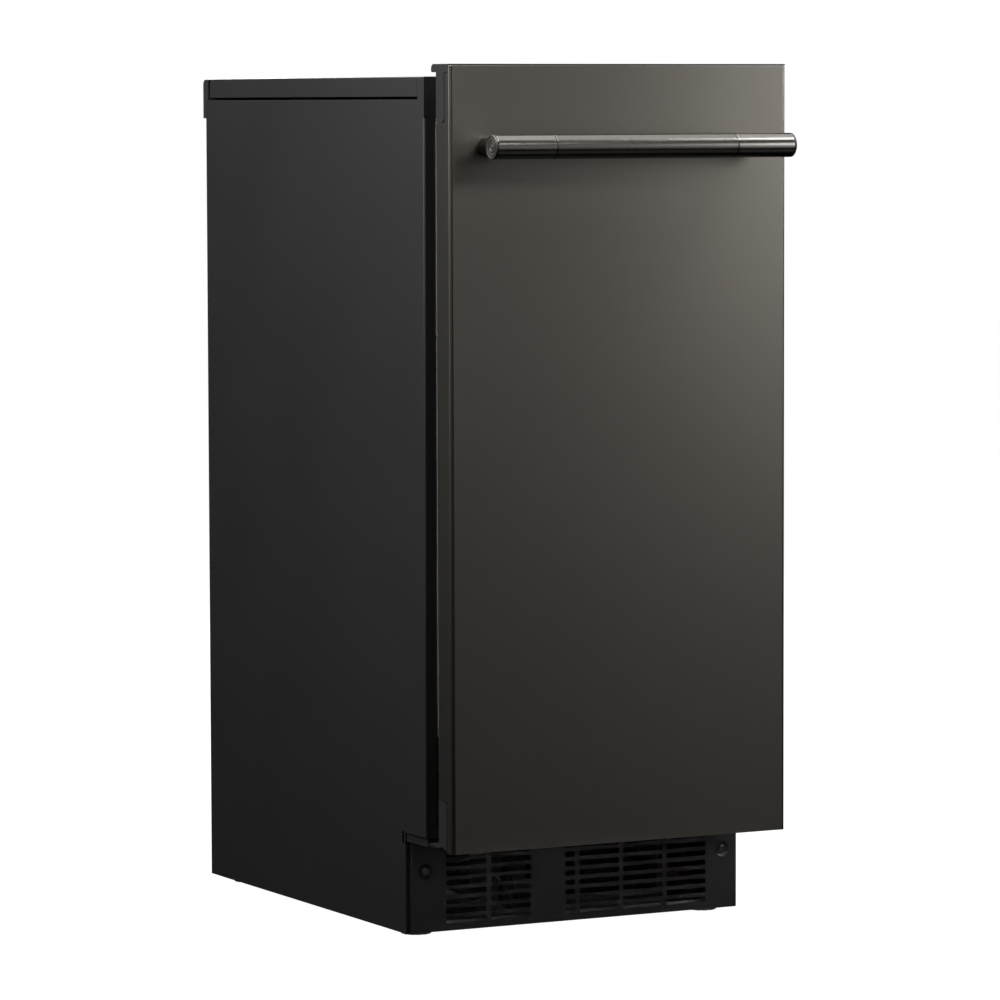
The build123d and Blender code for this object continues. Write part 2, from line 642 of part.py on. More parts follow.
def cutter_grid_frame():
    """Moulded frame that holds the ice-cutting wires."""
    side = CAVITY_X - 0.5
    frame = slab((-side, side), GRID_Y, GRID_Z)
    frame -= slab((-side + 14, side - 14), (GRID_Y[0] + 14, GRID_Y[1] - 14), (GRID_Z[0] - 1, GRID_Z[1] + 1))
    frame = fillet(frame.edges().filter_by(Axis.Z), 3)
    for wire in grid_wires(0.9):
        frame -= wire
    return frame


def cutter_grid_wires():
    """Resistance wires stretched across the frame."""
    return Compound(children=grid_wires(0.8))


# ---- control panel ------------------------------------------------------------------
def control_panel():
    """Front panel of the ice section with two button holes and a lamp window."""
    panel = slab((-148, 148), PANEL_Y, PANEL_Z)
    panel = fillet(edges_at(panel, Axis.Y, z=PANEL_Z[1]), 12)
    panel = fillet(edges_at(panel, Axis.X, y=PANEL_Y[0], z=PANEL_Z[0]), 1.5)
    panel += slab((-148, 148), (PANEL_Y[1], back(90)), (PANEL_Z[0], PANEL_Z[0] + 3))
    for x in BUTTON_X.values():
        panel -= facing_front(x, PANEL_Y[0], BUTTON_Z) * Cylinder(BUTTON_R + 0.3, 20)
    panel -= facing_front(0, PANEL_Y[0], BUTTON_Z) * extrude(SlotOverall(18, 4), 6, both=True)
    return panel


def push_button(x):
    """Round button with a retaining flange behind the panel."""
    cap = rod((x, PANEL_Y[0] - 2.6, BUTTON_Z), (x, PANEL_Y[1] + 3, BUTTON_Z), BUTTON_R)
    cap = fillet(cap.edges().filter_by(GeomType.CIRCLE).sort_by(Axis.Y)[0], 1.5)
    return cap + rod((x, PANEL_Y[1] + 0.6, BUTTON_Z), (x, PANEL_Y[1] + 2.4, BUTTON_Z), BUTTON_R + 2)


def switch_board():
    """Circuit board with a switch behind each button."""
    board = slab((-60, 60), (back(80), back(81.6)), (768, 802))
    for x in BUTTON_X.values():
        board += slab((x - 5, x + 5), (back(75), back(80)), (BUTTON_Z - 5, BUTTON_Z + 5))
    for x in (-52, 52):
        board += rod((x, PANEL_Y[1] + 0.2, BUTTON_Z), (x, back(80), BUTTON_Z), 3)
    return board


# ---- scoop --------------------------------------------------------------------------
def scoop_holder():
    """Fork on the left wall that carries the scoop's collar."""
    holder = slab((-CAVITY_X + 0.2, -CAVITY_X + 3.2), (SCOOP_Y - 26, SCOOP_Y + 26), (530, 562))
    holder += slab((-CAVITY_X + 3, SCOOP_X + 10), (SCOOP_Y - 18, SCOOP_Y + 18), (548, 552))
    holder = fillet(holder.edges().filter_by(Axis.X), 1.5)
    holder -= rod((SCOOP_X, SCOOP_Y, 540), (SCOOP_X, SCOOP_Y, 560), 10)
    return holder - slab((SCOOP_X, SCOOP_X + 20), (SCOOP_Y - 10, SCOOP_Y + 10), (540, 560))


def ice_scoop():
    """Moulded scoop, hung with its handle up and its bowl open to the right."""
    bowl = slab((-143, -104), (SCOOP_Y - 38, SCOOP_Y + 38), (392, 505))
    bowl = fillet(bowl.edges().filter_by(Axis.Z), 12)
    hollow = slab((-140.5, -100), (SCOOP_Y - 35.5, SCOOP_Y + 35.5), (388, 502.5))
    bowl -= fillet(edges_at(hollow, Axis.Z, x=-140.5), 9.5)
    grip = rod((SCOOP_X, SCOOP_Y, 503), (SCOOP_X, SCOOP_Y, 612), 8.5)
    grip = fillet(grip.edges().filter_by(GeomType.CIRCLE).sort_by(Axis.Z)[-1], 6)
    collar = rod((SCOOP_X, SCOOP_Y, 552.4), (SCOOP_X, SCOOP_Y, 556), 14)
    return bowl + grip + collar


# ---- hinges -------------------------------------------------------------------------
def hinge_tongue(z):
    """Tongue that reaches forward from a hinge plate to the pin."""
    tongue = slab((HINGE_X - 7.5, HINGE_X + 7.5), (HINGE_Y, FRONT), z)
    return tongue + rod((HINGE_X, HINGE_Y, z[0]), (HINGE_X, HINGE_Y, z[1]), 7.5)


def top_hinge_bracket():
    """Steel hinge plate on the lid, with its pin up into the door's top cap."""
    z = (TOP + 0.1, TOP + 3.1)
    plate = slab((146, 186), (back(44), back(110)), z)
    plate = fillet(edges_at(plate, Axis.Z, y=back(110)), 5) + hinge_tongue(z)
    for x, y in TOP_HINGE_SCREWS:
        plate -= rod((x, y, TOP - 1), (x, y, TOP + 5), 2.2)
    return plate + rod((HINGE_X, HINGE_Y, z[1]), (HINGE_X, HINGE_Y, 867), PIN_R)


def bottom_hinge_bracket():
    """Steel hinge angle on the bay's front panel, with its pin up into the door."""
    z = (97.6, 100.6)
    plate = slab((150, 186), (back(33), FRONT + 1), z) + hinge_tongue(z)
    plate += slab((150, 174.5), (FRONT - 1.9, FRONT + 1), (z[0], 135))
    for x, hole_z in LOWER_HINGE_SCREWS:
        plate -= rod((x, FRONT - 3, hole_z), (x, FRONT + 3, hole_z), 2.2)
    return plate + rod((HINGE_X, HINGE_Y, z[1]), (HINGE_X, HINGE_Y, 114), PIN_R)


def casing_screws():
    """Screws of both hinge brackets and of the lid's left front corner."""
    screws = [screw(Pos(x, y, TOP + 3.1), 9) for x, y in TOP_HINGE_SCREWS]
    screws += [screw(facing_front(x, FRONT - 1.9, z), 9) for x, z in LOWER_HINGE_SCREWS]
    screws.append(screw(Pos(*COVER_SCREW, TOP), 9))
    return Compound(children=screws)


def hinge_bushes():
    """Moulded bushes in the door's end caps."""
    bushes = []
    for low, high in ((CAP_LOW + 0.3, 867.5), (101.4, 116)):
        bush = rod((HINGE_X, HINGE_Y, low), (HINGE_X, HINGE_Y, high), 5.5)
        bush -= rod((HINGE_X, HINGE_Y, low - 1), (HINGE_X, HINGE_Y, high - 0.3), PIN_R + RUNNING)
        bushes.append(bush)
    return Compound(children=bushes)


# ---- door ---------------------------------------------------------------------------
def leg_cut(low, high):
    """The space of the side legs at one end of the door."""
    return both_sides(slab((HALF - 5, HALF + 2), (LEG_FRONT - 1.6, back(40)), (low, high)))


def hinge_cut(low, high):
    """The right-hand recess that clears a hinge plate as the door swings."""
    return slab((HINGE_X - 9, HALF + 2), (back(3.2), back(45)), (low, high))


def door_outer_panel():
    """Wrapped front sheet with side returns and a rolled top edge."""
    skin = slab((-HALF, HALF), (DOOR_FACE, DOOR_BACK), (DOOR_LOW, DOOR_HIGH))
    inside = slab((-HALF + SHEET, HALF - SHEET), (DOOR_FACE + SHEET, back(40)), (DOOR_LOW - 1, DOOR_HIGH + 1))
    inside = fillet(edges_at(inside, Axis.Z, y=DOOR_FACE + SHEET), DOOR_BEND - SHEET)
    skin = fillet(edges_at(skin, Axis.Z, y=DOOR_FACE), DOOR_BEND) - inside
    skin = fillet(edges_at(skin, Axis.X, y=DOOR_FACE, z=DOOR_HIGH), 0.8)
    skin += both_sides(slab((HALF - 12, HALF - SHEET), (DOOR_BACK - SHEET, DOOR_BACK), (152, 806)))
    skin -= slab((-HALF - 1, HALF + 1), (back(DOOR_BEND), back(40)), (860.4, DOOR_HIGH + 1))
    skin -= leg_cut(TOP_LEG_LOW, 862) + leg_cut(DOOR_LOW - 1, BOTTOM_LEG_HIGH + 0.7)
    skin -= hinge_cut(856.2, 862) + hinge_cut(DOOR_LOW - 1, 101.7)
    for x in (-POST_X, POST_X):
        skin -= rod((x, DOOR_FACE - 1, HANDLE_Z), (x, DOOR_FACE + 3, HANDLE_Z), BOLT_R + 0.3)
    return skin


def cap_leg(low, high, round_z):
    """One right-hand side leg of an end cap, rounded at its free front corner."""
    leg = slab((HALF - 4.5, HALF - 0.1), (LEG_FRONT, back(30)), (low, high))
    return fillet(edges_at(leg, Axis.X, y=LEG_FRONT, z=round_z), 6)


def door_end_cap_top():
    """Moulded top cap: overhanging slab, plug inside the skin, two side legs."""
    slab_cap = slab((-HALF + 0.1, HALF - 0.1), (DOOR_FACE + SHEET + 0.2, CAP_BACK), (CAP_LOW, HEIGHT))
    slab_cap = fillet(edges_at(slab_cap, Axis.X, y=CAP_BACK, z=HEIGHT), 5)
    slab_cap = fillet(edges_at(slab_cap, Axis.X, y=CAP_BACK, z=CAP_LOW), 2.4)
    inside = HALF - SHEET - 0.3
    bend = slab((inside, HALF + 1), (DOOR_FACE, back(DOOR_BEND + 0.2)), (CAP_LOW - 1, DOOR_HIGH + 0.3))
    slab_cap -= both_sides(bend)
    front_corners = edges_at(slab_cap, Axis.Z, x=inside, y=DOOR_FACE + SHEET + 0.2)
    front_corners += edges_at(slab_cap, Axis.Z, x=-inside, y=DOOR_FACE + SHEET + 0.2)
    slab_cap = fillet(front_corners, DOOR_BEND - SHEET - 0.1)
    plug = slab((-HALF + 1.4, HALF - 1.4), (DOOR_FACE + SHEET + 0.2, back(28.3)), (846, CAP_LOW + 1))
    corners = edges_at(plug, Axis.Z, y=DOOR_FACE + SHEET + 0.2)
    cap = slab_cap + fillet(corners, DOOR_BEND - SHEET)
    cap -= both_sides(slab((HALF - 7, HALF + 1), (LEG_FRONT - 1.6, LEG_FRONT), (840, CAP_LOW)))
    cap += both_sides(cap_leg(TOP_LEG_LOW + 0.5, CAP_LOW + 1, TOP_LEG_LOW + 0.5))
    cap -= hinge_cut(856.3, CAP_LOW)
    return cap - rod((HINGE_X, HINGE_Y, 855), (HINGE_X, HINGE_Y, 867.6), 5.55)


def door_end_cap_bottom():
    """Moulded bottom cap: plug inside the skin, sloping underside, two side legs."""
    plug = slab((-HALF + 1.4, HALF - 1.4), (DOOR_FACE + SHEET + 0.2, back(28.3)), (DOOR_LOW + 0.3, 118))
    corners = edges_at(plug, Axis.Z, y=DOOR_FACE + SHEET + 0.2)
    cap = fillet(corners, DOOR_BEND - SHEET)
    cap -= both_sides(slab((HALF - 7, HALF + 1), (LEG_FRONT - 1.6, LEG_FRONT), (DOOR_LOW - 1, 120)))
    cap += both_sides(cap_leg(DOOR_LOW + 0.3, BOTTOM_LEG_HIGH, BOTTOM_LEG_HIGH))
    with BuildLine(Plane.YZ) as slope:
        low = DOOR_LOW - 4
        Polyline((back(4), DOOR_LOW), (back(31), 103.5), (back(31), low), (back(4), low), close=True)
    cap -= Pos(-HALF - 1, 0, 0) * extrude(make_face(slope.line), WIDTH + 2, dir=(1, 0, 0))
    cap -= hinge_cut(DOOR_LOW - 1, 101.3)
    return cap - rod((HINGE_X, HINGE_Y, 95), (HINGE_X, HINGE_Y, 116.1), 5.55)


def door_foam():
    """Foamed-in insulation inside the door skin."""
    foam = slab((-HALF + 1.8, HALF - 1.8), (DOOR_FACE + 1.4, back(28.1)), (118.5, 845.5))
    foam = fillet(edges_at(foam, Axis.Z, y=DOOR_FACE + 1.4), DOOR_BEND)
    foam -= both_sides(slab((HALF - 7, HALF + 1), (back(11), back(31)), (100, BOTTOM_LEG_HIGH + 2)))
    foam -= both_sides(slab((HALF - 7, HALF + 1), (back(11), back(31)), (TOP_LEG_LOW - 2, 850)))
    for x in (-POST_X, POST_X):
        foam -= rod((x, DOOR_FACE, HANDLE_Z), (x, DOOR_FACE + 9, HANDLE_Z), 9)
    return foam


def door_liner():
    """Formed inner liner with a raised land for the gasket and a shallow pan."""
    liner = slab((-183.5, 183.5), (back(30.2), back(32.2)), (112, 856))
    liner += slab((-176, 176), (back(32.2), back(41.7)), (196, 842))
    liner += slab((-140, 140), (back(41.7), back(52)), (240, 798))
    liner -= slab((-173.5, 173.5), (back(30), back(39.2)), (198.5, 839.5))
    liner -= slab((-137.5, 137.5), (back(39), back(49.5)), (242.5, 795.5))
    return liner


def gasket_ring(depths, outer, width):
    """One layer of the gasket: a rectangular ring between two depths."""
    x, low, high = outer
    y = (back(depths[0]), back(depths[1]))
    ring = slab((-x, x), y, (low, high))
    hole = slab((-x + width, x - width), (y[0] - 1, y[1] + 1), (low + width, high - width))
    return ring - hole


def door_gasket():
    """Magnetic gasket: base, bellows neck and sealing tube."""
    gasket = gasket_ring((41.9, 45.2), (174, 198, 840), 16)
    gasket += gasket_ring((45, 48.2), (171, 201, 837), 10)
    return gasket + gasket_ring((48, 55.6), (174, 198, 840), 16)



# ---- handle -------------------------------------------------------------------------
def handle_bar():
    """Middle length of the round bar."""
    return rod((-SEAM_X, HANDLE_Y, HANDLE_Z), (SEAM_X, HANDLE_Y, HANDLE_Z), HANDLE_R)


def handle_sleeve(side):
    """End sleeve of the bar, with a groove that sets off its end disc."""
    sleeve = rod((SEAM_X + 0.3, HANDLE_Y, HANDLE_Z), (HANDLE_END, HANDLE_Y, HANDLE_Z), HANDLE_R)
    ends = sleeve.edges().filter_by(GeomType.CIRCLE).sort_by(Axis.X)
    sleeve = fillet(ends[-1], 0.6)
    sleeve = chamfer(sleeve.edges().filter_by(GeomType.CIRCLE).sort_by(Axis.X)[0], 0.5)
    groove = rod((HANDLE_END - 2.6, HANDLE_Y, HANDLE_Z), (HANDLE_END - 1.8, HANDLE_Y, HANDLE_Z), HANDLE_R + 1)
    groove -= rod((HANDLE_END - 3, HANDLE_Y, HANDLE_Z), (HANDLE_END, HANDLE_Y, HANDLE_Z), HANDLE_R - 0.9)
    return handed(sleeve - groove, side)



def handle_posts():
    """Two stand-off posts, saddled to the sleeves."""
    posts = []
    for x in (-POST_X, POST_X):
        post = rod((x, DOOR_FACE - 0.1, HANDLE_Z), (x, HANDLE_Y, HANDLE_Z), POST_R)
        post -= rod((x - 20, HANDLE_Y, HANDLE_Z), (x + 20, HANDLE_Y, HANDLE_Z), HANDLE_R + 0.1)
        post -= rod((x, DOOR_FACE + 1, HANDLE_Z), (x, DOOR_FACE - 24, HANDLE_Z), BOLT_R + 0.1)
        posts.append(post)
    return Compound(children=posts)


def handle_bolts():
    """Bolts driven from inside the door into the posts."""
    bolts = []
    for x in (-POST_X, POST_X):
        bolt = rod((x, DOOR_FACE + 1.2, HANDLE_Z), (x, DOOR_FACE + 6, HANDLE_Z), 6)
        bolts.append(bolt + rod((x, DOOR_FACE - 22, HANDLE_Z), (x, DOOR_FACE + 2, HANDLE_Z), BOLT_R))
    return Compound(children=bolts)


# ---- write every piece --------------------------------------------------------------
def pieces():
    """Every sub-part by its node name."""
    made = {
        "side_panel_left": side_panel(-1),
        "side_panel_right": side_panel(1),
        "top_cover": top_cover(),
        "rear_cap": rear_cap(),
        "rear_panel": rear_panel(),
        "lower_front_panel": lower_front_panel(),
        "base_pan": base_pan(),
        "cabinet_foam": cabinet_foam(),
        "bin_liner": bin_liner(),
        "toe_grille": toe_grille(),
        "grille_screws": grille_screws(),
        "condenser_core": condenser_core(),
        "condenser_tube": condenser_tube(),
        "fan_shroud": fan_shroud(),
        "fan_motor": fan_motor(),
        "fan_blade": fan_blade(),
        "compressor": compressor(),
        "compressor_grommets": compressor_grommets(),
        "filter_drier": filter_drier(),
        "refrigerant_lines": refrigerant_lines(),
        "hot_gas_valve": hot_gas_valve(),
        "control_box": control_box(),
        "water_inlet_valve": water_inlet_valve(),
        "drain_outlet": drain_outlet(),
        "drain_hose": drain_hose(),
        "cord_bushing": cord_bushing(),
        "evaporator_plate": evaporator_plate(),
        "evaporator_coil": evaporator_coil(),
        "water_distributor": water_distributor(),
        "evaporator_hangers": evaporator_hangers(),
        "water_reservoir": water_reservoir(),
        "pump_housing": pump_housing(),
        "pump_impeller": pump_impeller(),
        "pump_hose": pump_hose(),
        "cutter_grid_frame": cutter_grid_frame(),
        "cutter_grid_wires": cutter_grid_wires(),
        "control_panel": control_panel(),
        "switch_board": switch_board(),
        "scoop_holder": scoop_holder(),
        "ice_scoop": ice_scoop(),
        "top_hinge_bracket": top_hinge_bracket(),
        "bottom_hinge_bracket": bottom_hinge_bracket(),
        "casing_screws": casing_screws(),
        "hinge_bushes": hinge_bushes(),
        "door_outer_panel": door_outer_panel(),
        "door_end_cap_top": door_end_cap_top(),
        "door_end_cap_bottom": door_end_cap_bottom(),
        "door_foam": door_foam(),
        "door_liner": door_liner(),
        "door_gasket": door_gasket(),
        "handle_bar": handle_bar(),
        "handle_sleeves": Compound(children=[handle_sleeve(-1), handle_sleeve(1)]),
        "handle_posts": handle_posts(),
        "handle_bolts": handle_bolts(),
    }
    for name, x in BUTTON_X.items():
        made[name] = push_button(x)
    for number, (x, y) in enumerate(leg_places(), 1):
        made[f"levelling_leg_{number}"] = levelling_leg(x, y)
    return made


os.makedirs("parts", exist_ok=True)
for node, shape in pieces().items():
    export_step(shape, f"parts/{node}.step")
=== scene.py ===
"""Looks of an under-counter ice maker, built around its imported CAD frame."""
from math import cos, pi, radians, sin

import bmesh
import bpy
from mathutils import Matrix, Vector


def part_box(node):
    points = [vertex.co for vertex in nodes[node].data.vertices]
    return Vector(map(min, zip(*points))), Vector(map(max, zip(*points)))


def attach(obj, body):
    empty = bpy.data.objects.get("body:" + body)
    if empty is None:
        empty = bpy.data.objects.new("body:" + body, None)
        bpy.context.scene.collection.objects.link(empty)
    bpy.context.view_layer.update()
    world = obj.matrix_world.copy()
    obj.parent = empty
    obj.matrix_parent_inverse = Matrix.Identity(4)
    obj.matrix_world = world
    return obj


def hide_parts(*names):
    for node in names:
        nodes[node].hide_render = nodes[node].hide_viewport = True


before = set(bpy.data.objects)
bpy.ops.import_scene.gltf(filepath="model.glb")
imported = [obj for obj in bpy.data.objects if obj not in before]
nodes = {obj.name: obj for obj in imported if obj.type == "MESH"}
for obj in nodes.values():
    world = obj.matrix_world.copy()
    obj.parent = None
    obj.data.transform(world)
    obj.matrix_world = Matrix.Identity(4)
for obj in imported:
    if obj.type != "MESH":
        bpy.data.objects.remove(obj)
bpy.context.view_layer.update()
scene = bpy.context.scene

MM = 0.001


# ---- small helpers ------------------------------------------------------------------
def low(node):
    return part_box(node)[0]


def high(node):
    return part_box(node)[1]


def middle(node):
    a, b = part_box(node)
    return (a + b) / 2


# ---- camera -------------------------------------------------------------------------
def add_camera():
    """A long lens at the viewing angle, slightly above the middle and looking down."""
    azimuth, pitch, roll = radians(-27.604), radians(4.380), radians(-0.169)
    away = Vector((sin(azimuth) * cos(pitch), -cos(azimuth) * cos(pitch), sin(pitch)))
    right = (-away).cross(Vector((0, 0, 1))).normalized()
    up = away.cross(right)
    x_axis = cos(roll) * right + sin(roll) * up
    y_axis = -sin(roll) * right + cos(roll) * up
    place = Matrix((x_axis, y_axis, away)).transposed().to_4x4()
    place.translation = Vector((-2.4839, -4.7514, 0.8316))
    data = bpy.data.cameras.new("camera")
    data.lens = 186.92
    data.sensor_width = 36.0
    data.clip_end = 60
    camera = bpy.data.objects.new("camera", data)
    scene.collection.objects.link(camera)
    camera.matrix_world = place
    scene.camera = camera


add_camera()
scene.view_settings.view_transform = "Standard"


# ---- material nodes -----------------------------------------------------------------
class Finish:
    """A principled material that is put together from object-space patterns."""

    def __init__(self, name, metallic=0.0, **fixed):
        self.material = bpy.data.materials.new(name)
        self.material.use_nodes = True
        self.tree = self.material.node_tree
        self.shader = self.tree.nodes["Principled BSDF"]
        self.shader.inputs["Metallic"].default_value = metallic
        for socket, value in fixed.items():
            self.shader.inputs[socket.replace("_", " ")].default_value = value
        self.place = self.node("ShaderNodeTexCoord").outputs["Object"]
        self.height = None

    def node(self, kind, **settings):
        node = self.tree.nodes.new(kind)
        for key, value in settings.items():
            setattr(node, key, value)
        return node

    def join(self, source, target):
        self.tree.links.new(source, target)

    def stretched(self, scale):
        mapping = self.node("ShaderNodeMapping")
        mapping.inputs["Scale"].default_value = scale
        self.join(self.place, mapping.inputs["Vector"])
        return mapping.outputs["Vector"]

    def noise(self, scale, detail=3.0, stretch=None, rough=0.5):
        node = self.node("ShaderNodeTexNoise")
        node.inputs["Scale"].default_value = scale
        node.inputs["Detail"].default_value = detail
        node.inputs["Roughness"].default_value = rough
        self.join(self.stretched(stretch) if stretch else self.place, node.inputs["Vector"])
        return node.outputs["Fac"]

    def cells(self, scale, feature="F1", output="Distance"):
        node = self.node("ShaderNodeTexVoronoi", feature=feature)
        node.inputs["Scale"].default_value = scale
        self.join(self.place, node.inputs["Vector"])
        return node.outputs[output]

    def waves(self, scale):
        node = self.node("ShaderNodeTexWave", bands_direction="Z")
        node.inputs["Scale"].default_value = scale
        self.join(self.place, node.inputs["Vector"])
        return node.outputs["Fac"]

    def ramp(self, value, from_low, from_high, to_low=0.0, to_high=1.0):
        node = self.node("ShaderNodeMapRange")
        node.inputs["From Min"].default_value = from_low
        node.inputs["From Max"].default_value = from_high
        node.inputs["To Min"].default_value = to_low
        node.inputs["To Max"].default_value = to_high
        self.join(value, node.inputs["Value"])
        return node.outputs["Result"]

    def math(self, operation, a, b):
        node = self.node("ShaderNodeMath", operation=operation)
        for socket, value in zip(node.inputs, (a, b)):
            if isinstance(value, (int, float)):
                socket.default_value = value
            else:
                self.join(value, socket)
        return node.outputs[0]

    def mix(self, factor, a, b):
        node = self.node("ShaderNodeMix", data_type="RGBA")
        self.join(factor, node.inputs["Factor"])
        for socket, value in ((node.inputs[6], a), (node.inputs[7], b)):
            if isinstance(value, tuple):
                socket.default_value = (*value, 1.0)
            else:
                self.join(value, socket)
        return node.outputs[2]

    def edges(self, radius):
        """1 on the outer edges of the part, 0 on its faces."""
        bevel = self.node("ShaderNodeBevel", samples=4)
        bevel.inputs["Radius"].default_value = radius
        dot = self.node("ShaderNodeVectorMath", operation="DOT_PRODUCT")
        self.join(bevel.outputs["Normal"], dot.inputs[0])
        self.join(self.node("ShaderNodeNewGeometry").outputs["Normal"], dot.inputs[1])
        return self.ramp(dot.outputs["Value"], 0.995, 0.9)

    def colour(self, value):
        if isinstance(value, tuple):
            self.shader.inputs["Base Color"].default_value = (*value, 1.0)
        else:
            self.join(value, self.shader.inputs["Base Color"])

    def rough(self, value):
        self.join(value, self.shader.inputs["Roughness"])

    def bump(self, height, distance):
        node = self.node("ShaderNodeBump")
        node.inputs["Distance"].default_value = distance
        node.inputs["Strength"].default_value = 1.0
        self.join(height, node.inputs["Height"])
        if self.height is not None:
            self.join(self.height, node.inputs["Normal"])
        self.height = node.outputs["Normal"]
        self.join(self.height, self.shader.inputs["Normal"])


def shade(colour, factor):
    return tuple(c * factor for c in colour)


WORN_PAINT = (0.05, 0.05, 0.05)


def painted(name, colour, rough, peel=(850.0, 0.00006)):
    """Enamelled or powder-coated steel: orange peel, faint blotches, rubbed edges."""
    m = Finish(name)
    blotch = m.noise(9, 4)
    tone = m.mix(m.ramp(blotch, 0.3, 0.7), shade(colour, 0.95), shade(colour, 1.05))
    edge = m.math("MULTIPLY", m.edges(0.0006), m.ramp(m.noise(140, 4), 0.42, 0.62))
    m.colour(m.mix(m.math("MULTIPLY", edge, 0.5), tone, WORN_PAINT))
    fine = m.noise(peel[0] * 2.2, 2)
    m.rough(m.ramp(m.math("ADD", m.math("MULTIPLY", blotch, 0.15), m.math("MULTIPLY", fine, 0.85)),
                   0.3, 0.7, rough - 0.03, rough + 0.03))
    m.bump(m.noise(peel[0], 2), peel[1])
    return m.material


def moulded(name, colour, rough, grain, **fixed):
    """Injection-moulded plastic with an eroded grain and slightly polished edges."""
    m = Finish(name, **fixed)
    blotch = m.noise(14, 3)
    speck = m.cells(grain[0], output="Distance")
    tone = m.mix(m.ramp(blotch, 0.3, 0.7), shade(colour, 0.92), shade(colour, 1.06))
    tone = m.mix(m.ramp(speck, 0.1, 0.6, 0.0, 0.35), tone, shade(colour, 1.25))
    tone = m.mix(m.math("MULTIPLY", m.edges(0.0005), 0.35), tone, shade(colour, 1.5))
    m.colour(tone)
    m.rough(m.ramp(m.noise(grain[0] * 0.6, 2), 0.3, 0.7, rough - 0.05, rough + 0.06))
    m.bump(speck, grain[1])
    m.bump(m.noise(grain[0] * 1.7, 2), grain[1] * 0.5)
    return m.material


def metal(name, colour, rough, tint=None, brush=None):
    """Bare or plated metal, with an optional brushed direction and tarnish blotches."""
    grain, spread = 0.00001, 0.05
    m = Finish(name, metallic=1.0)
    blotch = m.noise(22, 5)
    tone = m.mix(m.ramp(blotch, 0.35, 0.65), shade(colour, 0.9), tint or shade(colour, 1.08))
    if brush:
        lines = m.noise(brush[0], 3, brush[1], 0.65)
        tone = m.mix(m.ramp(lines, 0.35, 0.65, 0.0, 0.5), tone, shade(colour, 1.16))
        m.rough(m.ramp(lines, 0.3, 0.7, rough - spread, rough + spread))
        m.bump(lines, grain)
    else:
        fine = m.noise(900, 3)
        m.rough(m.ramp(m.math("ADD", m.math("MULTIPLY", blotch, 0.7), m.math("MULTIPLY", fine, 0.3)),
                       0.35, 0.65, rough - spread, rough + spread))
        m.bump(fine, grain)
    m.colour(tone)
    return m.material


def galvanised():
    """Zinc-coated sheet with large angular spangles."""
    m = Finish("zinc_steel", metallic=1.0)
    spangle = m.cells(170, output="Color")
    grey = m.node("ShaderNodeSeparateColor")
    m.join(spangle, grey.inputs[0])
    cloud = m.math("MULTIPLY", m.noise(16, 4), 0.25)
    value = m.math("ADD", m.math("MULTIPLY", grey.outputs[0], 0.75), cloud)
    m.colour(m.mix(m.ramp(value, 0.1, 0.9), (0.47, 0.485, 0.50), (0.58, 0.595, 0.605)))
    m.rough(m.ramp(value, 0.0, 1.0, 0.38, 0.47))
    m.bump(m.noise(500, 3), 0.00002)
    return m.material


def foamed():
    """Poured polyurethane with open cells."""
    m = Finish("foam")
    cell = m.cells(900)
    blotch = m.noise(18, 5)
    tone = m.mix(m.ramp(blotch, 0.3, 0.7), (0.60, 0.50, 0.31), (0.74, 0.66, 0.47))
    m.colour(m.mix(m.ramp(cell, 0.0, 0.35), (0.45, 0.36, 0.20), tone))
    m.rough(m.ramp(blotch, 0.3, 0.7, 0.85, 0.95))
    m.bump(cell, 0.0004)
    return m.material


def copper_tube():
    """Drawn copper with brown tarnish."""
    m = Finish("copper", metallic=1.0)
    stain = m.noise(45, 6)
    draw = m.noise(260, 3)
    tone = m.mix(m.ramp(stain, 0.42, 0.66), (0.72, 0.35, 0.19), (0.36, 0.17, 0.10))
    m.colour(m.mix(m.ramp(draw, 0.35, 0.65, 0.0, 0.4), tone, (0.82, 0.46, 0.29)))
    m.rough(m.ramp(stain, 0.35, 0.7, 0.22, 0.45))
    m.bump(draw, 0.00002)
    return m.material


def finned():
    """Thin aluminium fins, their colour painted dark as the shade between them, with a mottled tone."""
    m = Finish("fin_aluminium", metallic=1.0)
    mottle = m.noise(60, 6)
    # painted shade: the fins' colour is held far darker than bare aluminium, standing in for the shade
    # between them; the noise only mottles it
    m.colour(m.mix(m.ramp(mottle, 0.45, 0.65), (0.075, 0.077, 0.078), (0.035, 0.034, 0.032)))
    m.rough(m.ramp(mottle, 0.4, 0.7, 0.35, 0.6))
    m.bump(m.waves(700), 0.00006)
    m.bump(m.noise(600, 3), 0.00003)
    return m.material


def soft_tube():
    """Reinforced clear hose, slightly milky."""
    m = Finish("clear_hose", Transmission_Weight=0.55, IOR=1.5)
    milk = m.noise(30, 4)
    m.colour(m.mix(m.ramp(milk, 0.3, 0.7), (0.62, 0.66, 0.66), (0.80, 0.83, 0.82)))
    m.rough(m.ramp(milk, 0.3, 0.7, 0.18, 0.32))
    m.bump(m.noise(350, 2), 0.00004)
    return m.material


def translucent(name, colour, rough, weight):
    """Clear moulded plastic with flow marks."""
    m = Finish(name, Transmission_Weight=weight, IOR=1.49)
    flow = m.noise(20, 5, (1.0, 1.0, 0.3))
    m.colour(m.mix(m.ramp(flow, 0.3, 0.7), shade(colour, 0.93), shade(colour, 1.05)))
    m.rough(m.ramp(m.noise(400, 2), 0.3, 0.7, rough - 0.04, rough + 0.05))
    m.bump(flow, 0.0003)
    m.bump(m.noise(600, 2), 0.00002)
    return m.material


def circuit_board():
    """Green board with copper tracks under the mask."""
    m = Finish("board", Coat_Weight=0.4, Coat_Roughness=0.2)
    tracks = m.cells(260, feature="DISTANCE_TO_EDGE")
    mask = m.ramp(tracks, 0.03, 0.06)
    m.colour(m.mix(mask, (0.06, 0.20, 0.07), (0.02, 0.09, 0.035)))
    m.rough(m.ramp(m.noise(500, 2), 0.3, 0.7, 0.32, 0.45))
    m.bump(mask, 0.00003)
    return m.material


